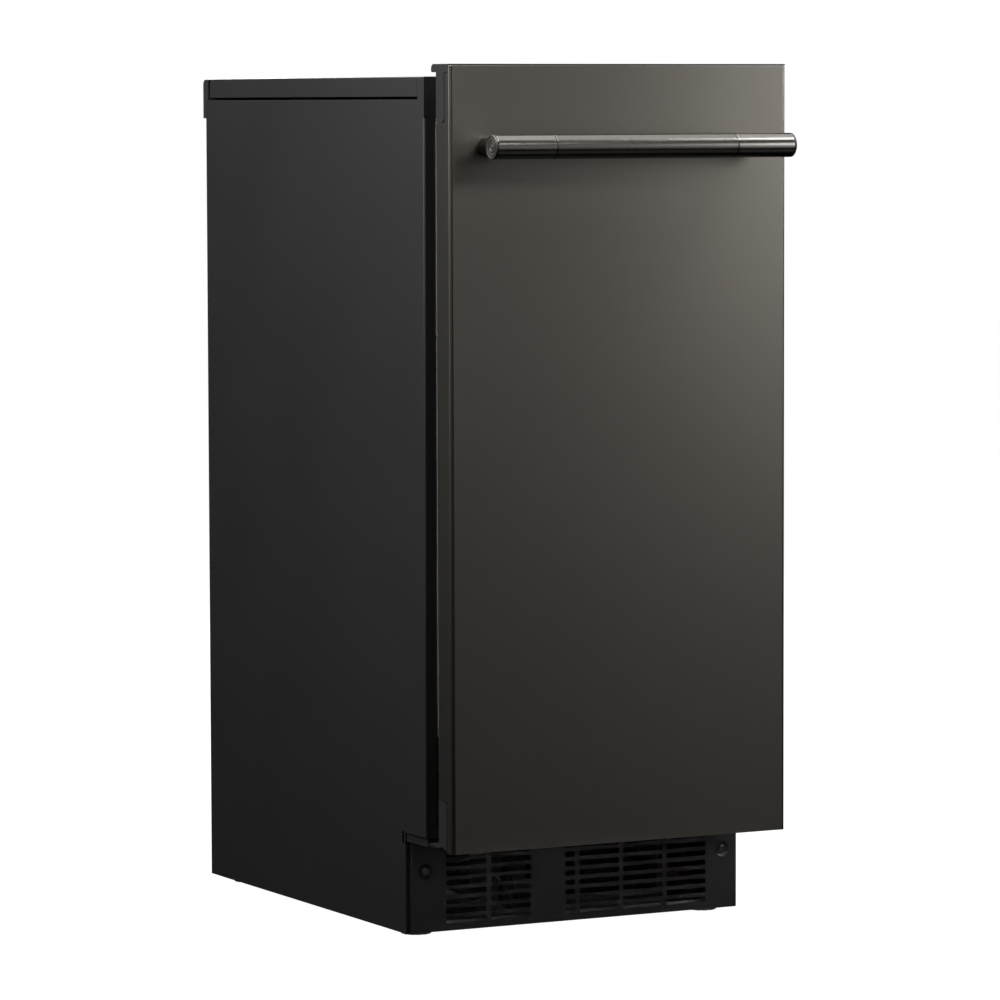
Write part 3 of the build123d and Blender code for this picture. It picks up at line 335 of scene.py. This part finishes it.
def rubber(name, colour):
    """Matt extruded rubber with bloom."""
    m = Finish(name, Sheen_Weight=0.08, Sheen_Roughness=0.4)
    bloom = m.noise(35, 5)
    m.colour(m.mix(m.ramp(bloom, 0.4, 0.7), colour, shade(colour, 1.5)))
    m.rough(m.ramp(bloom, 0.3, 0.7, 0.62, 0.78))
    m.bump(m.noise(1300, 2), 0.00004)
    return m.material


def door_steel():
    """Dark coated stainless sheet: very fine upright grain, satin sheen stretched upright."""
    m = Finish("door_metal", metallic=1.0, Anisotropic=0.6, Anisotropic_Rotation=0.25)
    colour = (0.170, 0.160, 0.141)
    grain = m.noise(1.0, 4, (2600.0, 2600.0, 18.0), 0.6)
    haze = m.noise(5, 3)
    tone = m.mix(m.ramp(haze, 0.3, 0.7), shade(colour, 0.97), shade(colour, 1.03))
    tone = m.mix(m.ramp(grain, 0.3, 0.7, 0.0, 1.0), shade(colour, 0.93), tone)
    m.colour(m.mix(m.math("MULTIPLY", m.edges(0.0007), 0.4), tone, shade(colour, 1.7)))
    m.rough(m.ramp(grain, 0.3, 0.7, 0.34, 0.38))
    tangent = m.node("ShaderNodeTangent", direction_type="RADIAL", axis="Z")
    m.join(tangent.outputs[0], m.shader.inputs["Tangent"])
    m.bump(grain, 0.000004)
    return m.material


def handle_steel(name, colour, rough):
    """Turned and fine-brushed bar, with rubbed edges."""
    m = Finish(name, metallic=1.0)
    lines = m.noise(1.0, 3, (2200.0, 40.0, 40.0), 0.6)
    tone = m.mix(m.ramp(lines, 0.35, 0.65), shade(colour, 0.95), shade(colour, 1.05))
    m.colour(m.mix(m.math("MULTIPLY", m.edges(0.0006), 0.5), tone, shade(colour, 1.5)))
    m.rough(m.ramp(lines, 0.3, 0.7, rough - 0.02, rough + 0.03))
    m.bump(lines, 0.000001)
    return m.material


finishes = {
    "casing_steel": painted("casing_steel", (0.0125, 0.0126, 0.0130), 0.40),
    "zinc_steel": galvanised(),
    "door_metal": door_steel(),
    "handle_metal": handle_steel("handle_metal", (0.24, 0.230, 0.213), 0.22),
    "cap_plastic": moulded("cap_plastic", (0.011, 0.011, 0.0108), 0.60, (620.0, 0.00016),
                           Specular_IOR_Level=0.3),
    "foam": foamed(),
    "liner_plastic": moulded("liner_plastic", (0.60, 0.62, 0.63), 0.30, (420.0, 0.00002)),
    "black_plastic": moulded("black_plastic", (0.014, 0.014, 0.015), 0.42, (900.0, 0.00006)),
    "gasket_rubber": rubber("gasket_rubber", (0.006, 0.006, 0.006)),
    "grille_steel": painted("grille_steel", (0.0105, 0.0105, 0.0108), 0.46, (1300.0, 0.00005)),
    "screw_steel": metal("screw_steel", (0.14, 0.14, 0.145), 0.34),
    "fin_aluminium": finned(),
    "copper": copper_tube(),
    "steel_black": painted("steel_black", (0.011, 0.011, 0.012), 0.28, (420.0, 0.00010)),
    "bright_steel": metal("bright_steel", (0.62, 0.63, 0.64), 0.22, brush=(1.0, (1500.0, 30.0, 30.0))),
    "brass_fitting": metal("brass_fitting", (0.62, 0.46, 0.20), 0.28, tint=(0.48, 0.33, 0.14)),
    "clear_hose": soft_tube(),
    "wire": metal("wire", (0.55, 0.55, 0.56), 0.25),
    "grey_plastic": moulded("grey_plastic", (0.20, 0.21, 0.22), 0.40, (800.0, 0.00004)),
    "scoop_plastic": translucent("scoop_plastic", (0.55, 0.66, 0.74), 0.24, 0.35),
    "board": circuit_board(),
    "bush_plastic": moulded("bush_plastic", (0.66, 0.65, 0.60), 0.35, (900.0, 0.00002)),
}
sleeve_metal = handle_steel("sleeve_metal", (0.30, 0.289, 0.268), 0.20)
disc_metal = handle_steel("disc_metal", (0.085, 0.082, 0.076), 0.50)

for name, node in nodes.items():
    slot = node.material_slots[0].material.name.split(".")[0]
    node.material_slots[0].material = finishes[slot]


# ---- softened sheet and moulded edges -----------------------------------------------
def soften(name, width):
    """Round a CAD part's sharp edges a little."""
    node = nodes[name]
    weld = node.modifiers.new("weld", "WELD")
    weld.merge_threshold = 0.00001
    bevel = node.modifiers.new("edges", "BEVEL")
    bevel.width = width
    bevel.segments = 2
    bevel.limit_method = "ANGLE"
    bevel.angle_limit = radians(40)
    bevel.harden_normals = True


# ---- mesh pieces --------------------------------------------------------------------
def finish_piece(name, bm, material, body, flat_angle=40):
    """Turn a bmesh into a piece that rides on a body."""
    bmesh.ops.remove_doubles(bm, verts=bm.verts, dist=1e-7)
    bmesh.ops.recalc_face_normals(bm, faces=bm.faces)
    mesh = bpy.data.meshes.new(name)
    bm.to_mesh(mesh)
    bm.free()
    for polygon in mesh.polygons:
        polygon.use_smooth = True
    mesh.set_sharp_from_angle(angle=radians(flat_angle))
    mesh.materials.append(material)
    piece = bpy.data.objects.new(name, mesh)
    scene.collection.objects.link(piece)
    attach(piece, body)
    return piece


def turn(bm, profile, place, steps=96):
    """Revolve (radius, distance) points about the local Z axis of a placement."""
    rings = []
    for radius, along in profile:
        if radius < 1e-9:
            rings.append([bm.verts.new(place @ Vector((0, 0, along)))])
            continue
        ring = []
        for step in range(steps):
            angle = 2 * pi * step / steps
            ring.append(bm.verts.new(place @ Vector((radius * cos(angle), radius * sin(angle), along))))
        rings.append(ring)
    for a, b in zip(rings, rings[1:]):
        for step in range(steps):
            after = (step + 1) % steps
            if len(a) == 1:
                bm.faces.new((a[0], b[step], b[after]))
            elif len(b) == 1:
                bm.faces.new((a[step], b[0], a[after]))
            else:
                bm.faces.new((a[step], b[step], b[after], a[after]))


def axis_place(origin, direction):
    """Placement whose local Z runs along a direction."""
    place = Vector(direction).to_track_quat("Z", "Y").to_matrix().to_4x4()
    place.translation = Vector(origin)
    return place


# ---- handle -------------------------------------------------------------------------
bar_low, bar_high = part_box("handle_bar")
bar_mid = (bar_low + bar_high) / 2
bar_radius = (bar_high.z - bar_low.z) / 2
seam = bar_high.x
sleeve_end = high("handle_sleeves").x
EDGE = 0.06 * MM
SEAM_GAP = 1.3 * MM
SEAM_DEPTH = 3.0 * MM
END_GROOVE_FROM = 2.6 * MM
END_GROOVE_DEPTH = 1.4 * MM
DISC_THICK = 1.7 * MM
DISC_RINGS = (10.2 * MM, 6.6 * MM)
RING_DEPTH = 0.6 * MM


def bar_place(direction):
    """Placement on the bar's axis, at the middle of its length."""
    return axis_place((0, bar_mid.y, bar_mid.z), direction)


def build_bar():
    """Smooth middle length of the handle."""
    r = bar_radius
    bm = bmesh.new()
    body = [(0, -seam), (r - EDGE, -seam), (r, -seam + EDGE), (r, -seam + 0.4 * MM)]
    body += [(radius, -along) for radius, along in reversed(body)]
    turn(bm, body, bar_place((1, 0, 0)))
    bar = finish_piece("handle_bar_turned", bm, finishes["handle_metal"], "door")
    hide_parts("handle_bar")


def build_sleeves():
    """End sleeves, each with a gap at the seam and a groove before its disc."""
    r = bar_radius
    start, end = seam + SEAM_GAP, sleeve_end - END_GROOVE_FROM
    root = seam - 0.2 * MM
    groove_end = end + 1.2 * MM
    profile = [(0, root), (r - SEAM_DEPTH, root), (r - SEAM_DEPTH, start), (r - EDGE, start),
               (r, start + EDGE), (r, start + 0.4 * MM), (r, end - 0.4 * MM), (r, end - EDGE),
               (r - EDGE, end), (r - END_GROOVE_DEPTH, end), (r - END_GROOVE_DEPTH, groove_end),
               (0, groove_end)]
    bm = bmesh.new()
    for side in (-1, 1):
        turn(bm, profile, bar_place((side, 0, 0)))
    return finish_piece("handle_sleeves_turned", bm, sleeve_metal, "door")


def build_discs():
    """End discs with a plain set of rings."""
    r = bar_radius
    back = sleeve_end - DISC_THICK
    face = sleeve_end - 0.1 * MM
    profile = [(0, back), (r - 0.2 * MM, back), (r - 0.05 * MM, back + 0.2 * MM),
               (r - 0.05 * MM, face - 0.5 * MM), (r - 0.5 * MM, face)]
    for ring in DISC_RINGS:
        profile += [(ring, face), (ring - 0.2 * MM, face - RING_DEPTH),
                    (ring - 1.0 * MM, face - RING_DEPTH), (ring - 1.2 * MM, face)]
    profile += [(3.6 * MM, face), (3.0 * MM, face - 0.4 * MM), (2.0 * MM, face - 0.4 * MM),
                (1.6 * MM, face), (0, face)]
    for side, tag in ((-1, "left"), (1, "right")):
        bm = bmesh.new()
        turn(bm, profile, bar_place((side, 0, 0)))
        finish_piece("handle_disc_" + tag, bm, disc_metal, "door", 20)


def build_posts():
    """Two posts from the door's face into the bar."""
    post_low, post_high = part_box("handle_posts")
    post_r = (post_high.z - post_low.z) / 2
    post_x = post_high.x - post_r
    length = post_high.y - bar_mid.y
    profile = [(0, 0), (post_r - 0.5 * MM, 0), (post_r, 0.5 * MM), (post_r, 0.8 * MM),
               (post_r, length - 4 * MM), (0, length - 4 * MM)]
    bm = bmesh.new()
    for side in (-1, 1):
        turn(bm, profile, axis_place((side * post_x, post_high.y, bar_mid.z), (0, -1, 0)), 64)
    posts = finish_piece("handle_posts_turned", bm, finishes["handle_metal"], "door")
    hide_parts("handle_posts")


build_bar()
sleeves = build_sleeves()
build_discs()
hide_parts("handle_sleeves")
build_posts()


# ---- wires and small details --------------------------------------------------------
def curve_points(points, steps=8):
    """A smooth path through the given points."""
    knots = [Vector(p) for p in points]
    knots = [2 * knots[0] - knots[1]] + knots + [2 * knots[-1] - knots[-2]]
    path = []
    for a, b, c, d in zip(knots, knots[1:], knots[2:], knots[3:]):
        for step in range(steps):
            t = step / steps
            path.append(0.5 * (2 * b + (c - a) * t + (2 * a - 5 * b + 4 * c - d) * t ** 2
                               + (3 * b - a - 3 * c + d) * t ** 3))
    path.append(knots[-2])
    return path


def cable(bm, points, radius, sides=12):
    """A round wire swept along a smooth path, closed at both ends."""
    path = curve_points(points)
    along = (path[1] - path[0]).normalized()
    out = along.orthogonal().normalized()
    rings = []
    for index, point in enumerate(path):
        ahead = path[min(index + 1, len(path) - 1)] - path[max(index - 1, 0)]
        ahead.normalize()
        out = (along.rotation_difference(ahead) @ out).normalized()
        along = ahead
        side = along.cross(out)
        turns = [2 * pi * k / sides for k in range(sides)]
        rings.append([bm.verts.new(point + radius * (cos(t) * out + sin(t) * side)) for t in turns])
    for a, b in zip(rings, rings[1:]):
        for k in range(sides):
            after = (k + 1) % sides
            bm.faces.new((a[k], a[after], b[after], b[k]))
    bm.faces.new(rings[0][::-1])
    bm.faces.new(rings[-1])


def insulated(name, colour):
    """PVC wire insulation, slightly dusty."""
    m = Finish(name)
    mottle = m.noise(60, 4)
    m.colour(m.mix(m.ramp(mottle, 0.35, 0.7), colour, tuple(c * 0.7 + 0.03 for c in colour)))
    m.rough(m.ramp(mottle, 0.3, 0.7, 0.38, 0.55))
    m.bump(m.noise(900, 2), 0.00003)
    return m.material


def build_wiring():
    """Leads from the control box to the fan motor and along the bay's front right."""
    box_low, box_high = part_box("control_box")
    motor = middle("fan_motor")
    pan_top = low("base_pan").z + 3 * MM
    hole = Vector((box_high.x - 2 * MM, box_low.y + 48 * MM, box_low.z + 32 * MM))
    front = low("condenser_core")
    runs = (
        ("lead_black", (0.012, 0.012, 0.012), 1.7,
         [hole, hole + Vector((0.012, -0.020, -0.004)), (box_high.x + 12 * MM, front.y - 4 * MM, 0.044),
          (box_high.x + 30 * MM, front.y - 2 * MM, pan_top + 12 * MM),
          (box_high.x + 62 * MM, front.y + 30 * MM, pan_top + 6 * MM),
          (front.x - 24 * MM, motor.y - 20 * MM, pan_top + 10 * MM), (front.x - 8 * MM, motor.y, 0.060)]),
        ("lead_grey", (0.10, 0.10, 0.10), 1.3,
         [hole + Vector((0, 0.003, 0.003)), hole + Vector((0.014, -0.024, 0.002)),
          (box_high.x + 24 * MM, front.y - 3 * MM, 0.056), (box_high.x + 42 * MM, front.y + 4 * MM, 0.040),
          (box_high.x + 70 * MM, front.y + 34 * MM, pan_top + 14 * MM),
          (front.x - 12 * MM, motor.y - 10 * MM, 0.052)]),
        ("lead_blue", (0.03, 0.05, 0.12), 1.3,
         [hole + Vector((0, -0.003, 0.002)), hole + Vector((0.018, -0.018, -0.010)),
          (box_high.x + 20 * MM, front.y + 2 * MM, 0.034),
          (box_high.x + 55 * MM, front.y + 16 * MM, pan_top + 7 * MM),
          (front.x - 20 * MM, motor.y - 26 * MM, pan_top + 8 * MM),
          (front.x - 10 * MM, motor.y - 4 * MM, 0.056)]),
    )
    for name, colour, size, points in runs:
        bm = bmesh.new()
        cable(bm, points, size * MM)
        finish_piece(name, bm, insulated(name, colour), "cabinet")


build_wiring()


def rivet_head(bm, place, radius=3.6 * MM, height=1.6 * MM):
    """A low domed head with a socket in its middle."""
    profile = [(0, -0.3 * MM), (radius, -0.3 * MM), (radius, 0.2 * MM)]
    for step in range(1, 5):
        angle = pi / 2 * step / 5
        profile.append((radius - 0.55 * radius * (1 - cos(angle)),
                        0.2 * MM + (height - 0.2 * MM) * sin(angle)))
    profile += [(0.36 * radius, height), (0.30 * radius, height - 0.9 * MM), (0, height - 1.0 * MM)]
    turn(bm, profile, place, 24)


SCREW_INSET = 9 * MM
REAR_SCREW_Z = (0.235, 0.37, 0.51, 0.65, 0.79)
REAR_TOP_SCREWS_X, REAR_TOP_SCREWS_Z = (-0.09, 0.0, 0.09), 0.804
REAR_STEP_SCREW_Z = (0.035, 0.195)
GRILLE_CLIPS_X, GRILLE_CLIPS_Z = (-0.0925, -0.0297, 0.1069), 0.0902


def build_screws():
    """Screws of the rear sheets, cutter frame and control panel, and clips at the grille's top."""
    bm = bmesh.new()
    rear_low, rear_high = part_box("rear_panel")
    rear_sides = (rear_low.x + SCREW_INSET, rear_high.x - SCREW_INSET)
    for x in rear_sides:
        for z in REAR_SCREW_Z:
            rivet_head(bm, axis_place((x, rear_high.y, z), (0, 1, 0)))
    for x in REAR_TOP_SCREWS_X:
        rivet_head(bm, axis_place((x, rear_high.y, REAR_TOP_SCREWS_Z), (0, 1, 0)))
    for x in rear_sides:
        for z in REAR_STEP_SCREW_Z:
            rivet_head(bm, axis_place((x, rear_low.y + 1 * MM, z), (0, 1, 0)))
    finish_piece("rear_sheet_screws", bm, finishes["screw_steel"], "cabinet")

    bm = bmesh.new()
    frame_low, frame_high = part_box("cutter_grid_frame")
    frame_mid = middle("cutter_grid_frame").z
    for x in (frame_low.x + SCREW_INSET, frame_high.x - SCREW_INSET):
        rivet_head(bm, axis_place((x, frame_low.y, frame_mid), (0, -1, 0)), 3.2 * MM)
    panel_low, panel_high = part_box("control_panel")
    for x in (panel_low.x + 14 * MM, panel_high.x - 14 * MM):
        rivet_head(bm, axis_place((x, panel_low.y, panel_low.z + 14 * MM), (0, -1, 0)), 3.2 * MM)
    finish_piece("ice_section_screws", bm, finishes["bright_steel"], "cabinet")

    bm = bmesh.new()
    for x in GRILLE_CLIPS_X:
        place = axis_place((x, low("toe_grille").y, GRILLE_CLIPS_Z), (0, -1, 0))
        rivet_head(bm, place, 1.5 * MM, 0.9 * MM)
    finish_piece("grille_clips", bm, finishes["bright_steel"], "cabinet")


def flat_ribbon(bm, path, width, face_y, thick, closed=False):
    """A raised line of constant width, drawn in the XZ plane and facing -Y."""
    count = len(path)
    rings = []
    for index, (x, z) in enumerate(path):
        before = path[(index - 1) % count] if closed or index else path[0]
        after = path[(index + 1) % count] if closed or index < count - 1 else path[-1]
        along = Vector((after[0] - before[0], after[1] - before[1])).normalized()
        side = Vector((-along.y, along.x)) * width / 2
        rings.append([bm.verts.new((x + sx * side.x, y, z + sx * side.y))
                      for sx, y in ((-1, face_y), (-1, face_y - thick), (1, face_y - thick), (1, face_y))])
    pairs = list(zip(rings, rings[1:])) + ([(rings[-1], rings[0])] if closed else [])
    for a, b in pairs:
        for k in range(4):
            bm.faces.new((a[k], a[(k + 1) % 4], b[(k + 1) % 4], b[k]))
    if not closed:
        bm.faces.new(rings[0][::-1])
        bm.faces.new(rings[-1])


ICON_LINE, ICON_RAISE = 0.6 * MM, 0.18 * MM
LENS_HALF, LENS_RADIUS = 6.9 * MM, 1.85 * MM


def build_controls():
    """Raised plain icons on the two buttons and a lens in the lamp slot."""
    power, clean = middle("button_power"), middle("button_clean")
    face = low("button_power").y + 0.02 * MM
    bm = bmesh.new()
    arc = [(power.x + 2.6 * MM * sin(radians(a)), power.z - 0.4 * MM + 2.6 * MM * cos(radians(a)))
           for a in range(40, 321, 10)]
    flat_ribbon(bm, arc, ICON_LINE, face, ICON_RAISE)
    stroke = [(power.x, power.z + 0.4 * MM), (power.x, power.z + 3.2 * MM)]
    flat_ribbon(bm, stroke, ICON_LINE, face, ICON_RAISE)
    finish_piece("button_power_icon", bm, finishes["bush_plastic"], "power_button")
    bm = bmesh.new()
    drop = []
    for a in range(0, 360, 12):
        t = radians(a)
        pull = max(0.0, cos(t)) ** 6
        drop.append((clean.x + 2.3 * MM * sin(t) * (1 - 0.3 * pull),
                     clean.z - 0.7 * MM + 2.3 * MM * cos(t) + 1.7 * MM * pull))
    flat_ribbon(bm, drop, 0.55 * MM, face, ICON_RAISE, closed=True)
    finish_piece("button_clean_icon", bm, finishes["bush_plastic"], "clean_button")

    panel_low = low("control_panel")
    bm = bmesh.new()
    outline = []
    for centre, start in ((LENS_HALF, -90), (-LENS_HALF, 90)):
        for a in range(start, start + 181, 15):
            outline.append((centre + LENS_RADIUS * cos(radians(a)), power.z + LENS_RADIUS * sin(radians(a))))
    layers = []
    for forward, across, upright in ((-3.6, 1.0, 1.0), (0.1, 1.0, 1.0), (0.5, 0.97, 0.82)):
        y = panel_low.y - forward * MM
        layers.append([bm.verts.new((x * across, y, power.z + (z - power.z) * upright)) for x, z in outline])
    for a, b in zip(layers, layers[1:]):
        for k in range(len(a)):
            after = (k + 1) % len(a)
            bm.faces.new((a[k], a[after], b[after], b[k]))
    bm.faces.new(layers[0][::-1])
    bm.faces.new(layers[-1])
    finish_piece("lamp_lens", bm, finishes["scoop_plastic"], "cabinet", 30)


BIN_DRAIN_Y = 0.04
BIN_WALL_X = 0.1495
BULB_GAP = 6 * MM
BULB_Z = 0.560
CAPILLARY_TOP = 0.80
CLIP_Y = (0.035, 0.085)


def build_bin_details():
    """Strainer over the bin's drain and the bin thermostat's bulb in its clips."""
    bm = bmesh.new()
    floor = low("bin_liner").z + 2.5 * MM
    place = Matrix.Translation((0, BIN_DRAIN_Y, floor - 1.6 * MM))
    for radius in (9.6, 6.4, 3.2):
        ring = [(radius, 0.2), (radius, 1.4), (radius - 0.3, 1.7), (radius - 1.2, 1.7),
                (radius - 1.5, 1.4), (radius - 1.5, 0.2), (radius, 0.2)]
        turn(bm, [(r * MM, h * MM) for r, h in ring], place, 48)
    finish_piece("drain_strainer", bm, finishes["grey_plastic"], "cabinet")

    bm = bmesh.new()
    wall, z = BIN_WALL_X, BULB_Z
    bulb_x = wall - BULB_GAP
    cable(bm, [(bulb_x, 0.02, z), (bulb_x, 0.06, z), (bulb_x, 0.10, z)], 3.6 * MM, 20)
    finish_piece("thermostat_bulb", bm, finishes["copper"], "cabinet")
    bm = bmesh.new()
    pipe_x = wall - 4 * MM
    cable(bm, [(bulb_x, 0.099, z), (bulb_x, 0.125, z), (pipe_x, 0.140, z + 8 * MM),
               (pipe_x, 0.145, z + 60 * MM), (pipe_x, 0.145, 0.70), (pipe_x, 0.145, CAPILLARY_TOP)],
          1.1 * MM)
    finish_piece("thermostat_capillary", bm, finishes["copper"], "cabinet")
    bm = bmesh.new()
    for y in CLIP_Y:
        arc = []
        for a in range(60, 301, 12):
            t = radians(a)
            arc.append((bulb_x + 4.6 * MM * cos(t), z + 4.6 * MM * sin(t)))
        arc = [(wall - 0.2 * MM, arc[0][1])] + arc + [(wall - 0.2 * MM, arc[-1][1])]
        flat_ribbon(bm, arc, 1.2 * MM, y + 4 * MM, 8 * MM)
    finish_piece("thermostat_clips", bm, finishes["bush_plastic"], "cabinet")


build_screws()
build_controls()
build_bin_details()

for name in ("side_panel_left", "side_panel_right", "top_cover", "rear_cap", "door_outer_panel",
             "door_end_cap_top", "door_end_cap_bottom", "lower_front_panel", "toe_grille"):
    soften(name, 0.25 * MM)


# ---- stage and lights ---------------------------------------------------------------
def add_stage():
    """A pale floor that stays near white and doesn't light the object."""
    bm = bmesh.new()
    half = 14.0
    corners = [bm.verts.new((x * half, y * half, 0)) for x, y in ((-1, -1), (1, -1), (1, 1), (-1, 1))]
    bm.faces.new(corners)
    mesh = bpy.data.meshes.new("floor")
    bm.to_mesh(mesh)
    bm.free()
    material = bpy.data.materials.new("floor")
    material.use_nodes = True
    tree = material.node_tree
    tree.nodes.clear()
    emission = tree.nodes.new("ShaderNodeEmission")
    emission.inputs["Strength"].default_value = 1.0
    diffuse = tree.nodes.new("ShaderNodeBsdfDiffuse")
    diffuse.inputs["Color"].default_value = (0.12, 0.12, 0.12, 1)
    add = tree.nodes.new("ShaderNodeAddShader")
    output = tree.nodes.new("ShaderNodeOutputMaterial")
    tree.links.new(emission.outputs[0], add.inputs[0])
    tree.links.new(diffuse.outputs[0], add.inputs[1])
    tree.links.new(add.outputs[0], output.inputs["Surface"])
    mesh.materials.append(material)
    floor = bpy.data.objects.new("floor", mesh)
    scene.collection.objects.link(floor)
    floor.visible_diffuse = False
    floor.visible_glossy = False
    floor.visible_transmission = False


def add_world():
    """White behind the object, a dim even surround for its light."""
    world = bpy.data.worlds.new("surround")
    scene.world = world
    world.use_nodes = True
    tree = world.node_tree
    tree.nodes.clear()
    white = tree.nodes.new("ShaderNodeBackground")
    dim = tree.nodes.new("ShaderNodeBackground")
    dim.inputs["Color"].default_value = (0.002, 0.002, 0.002, 1)
    path = tree.nodes.new("ShaderNodeLightPath")
    mix = tree.nodes.new("ShaderNodeMixShader")
    output = tree.nodes.new("ShaderNodeOutputWorld")
    tree.links.new(path.outputs["Is Camera Ray"], mix.inputs[0])
    tree.links.new(dim.outputs[0], mix.inputs[1])
    tree.links.new(white.outputs[0], mix.inputs[2])
    tree.links.new(mix.outputs[0], output.inputs["Surface"])
    white.inputs["Color"].default_value = (1, 1, 1, 1)


def softbox(name, place, target, size, power, spread=180.0):
    """A rectangular area light, aimed at a point."""
    data = bpy.data.lights.new(name, "AREA")
    data.shape = "RECTANGLE"
    data.size, data.size_y = size
    data.energy = power
    data.spread = radians(spread)
    light = bpy.data.objects.new(name, data)
    light.visible_camera = False
    scene.collection.objects.link(light)
    light.location = place
    light.rotation_euler = (Vector(target) - Vector(place)).to_track_quat("-Z", "Y").to_euler()


add_stage()
add_world()
SIDE_AIM = (-0.19, 0.05, 0.6)
DOOR_AIM = (0, -0.3, 0.72)
KEY_SIZE = (0.5, 0.4)
MIRROR_X, MIRROR_Y = 0.46, -0.885
NARROW_SPREAD = 12

softbox("key_right", (1.35, -0.95, 1.25), DOOR_AIM, KEY_SIZE, 11)
softbox("key_level", (1.00, -1.30, 0.95), DOOR_AIM, KEY_SIZE, 1.9)
softbox("key_front", (0.26, -1.62, 1.50), DOOR_AIM, (0.4, 0.3), 4)
softbox("key_top", (1.15, -0.75, 1.90), DOOR_AIM, (0.6, 0.4), 8.5)
WASHES = (("left", (0.161, -1.327), 0.08),
          ("middle", (0.444, -1.180), 0.10),
          ("right", (0.727, -1.033), 0.26))
for tag, (x, y), power in WASHES:
    softbox("wash_" + tag, (x, y, 0.72), (x - MIRROR_X, y - MIRROR_Y, 0.72), (0.32, 0.46), power)
softbox("low_front", (0.05, -1.0, 0.04), (0.02, -0.19, 0.045), (0.4, 0.03), 0.02, NARROW_SPREAD)
softbox("floor_glow", (0.35, -0.9, 0.012), (0.35, -0.9, 1), (1.4, 0.6), 0.12)
softbox("overhead", (0.8, -0.1, 2.5), (0.8, -0.1, 0), (1.6, 2.0), 11)
softbox("side_back", (-1.0, 1.0, 1.9), SIDE_AIM, (0.9, 0.9), 9)
softbox("side_high", (-0.9, -0.1, 2.3), (-0.19, 0, 0.7), (1.8, 1.8), 116)
for z, power in ((0.5, 1.5), (1.3, 7.8)):
    softbox("side_far_%d" % round(z * 100), (-1.634, 0.948, z), (-1.174, 0.063, z), (0.8, 0.8), power)
softbox("rear", (0.8, 3.0, 1.8), (0, 0.3, 0.5), (1.6, 1.6), 90)
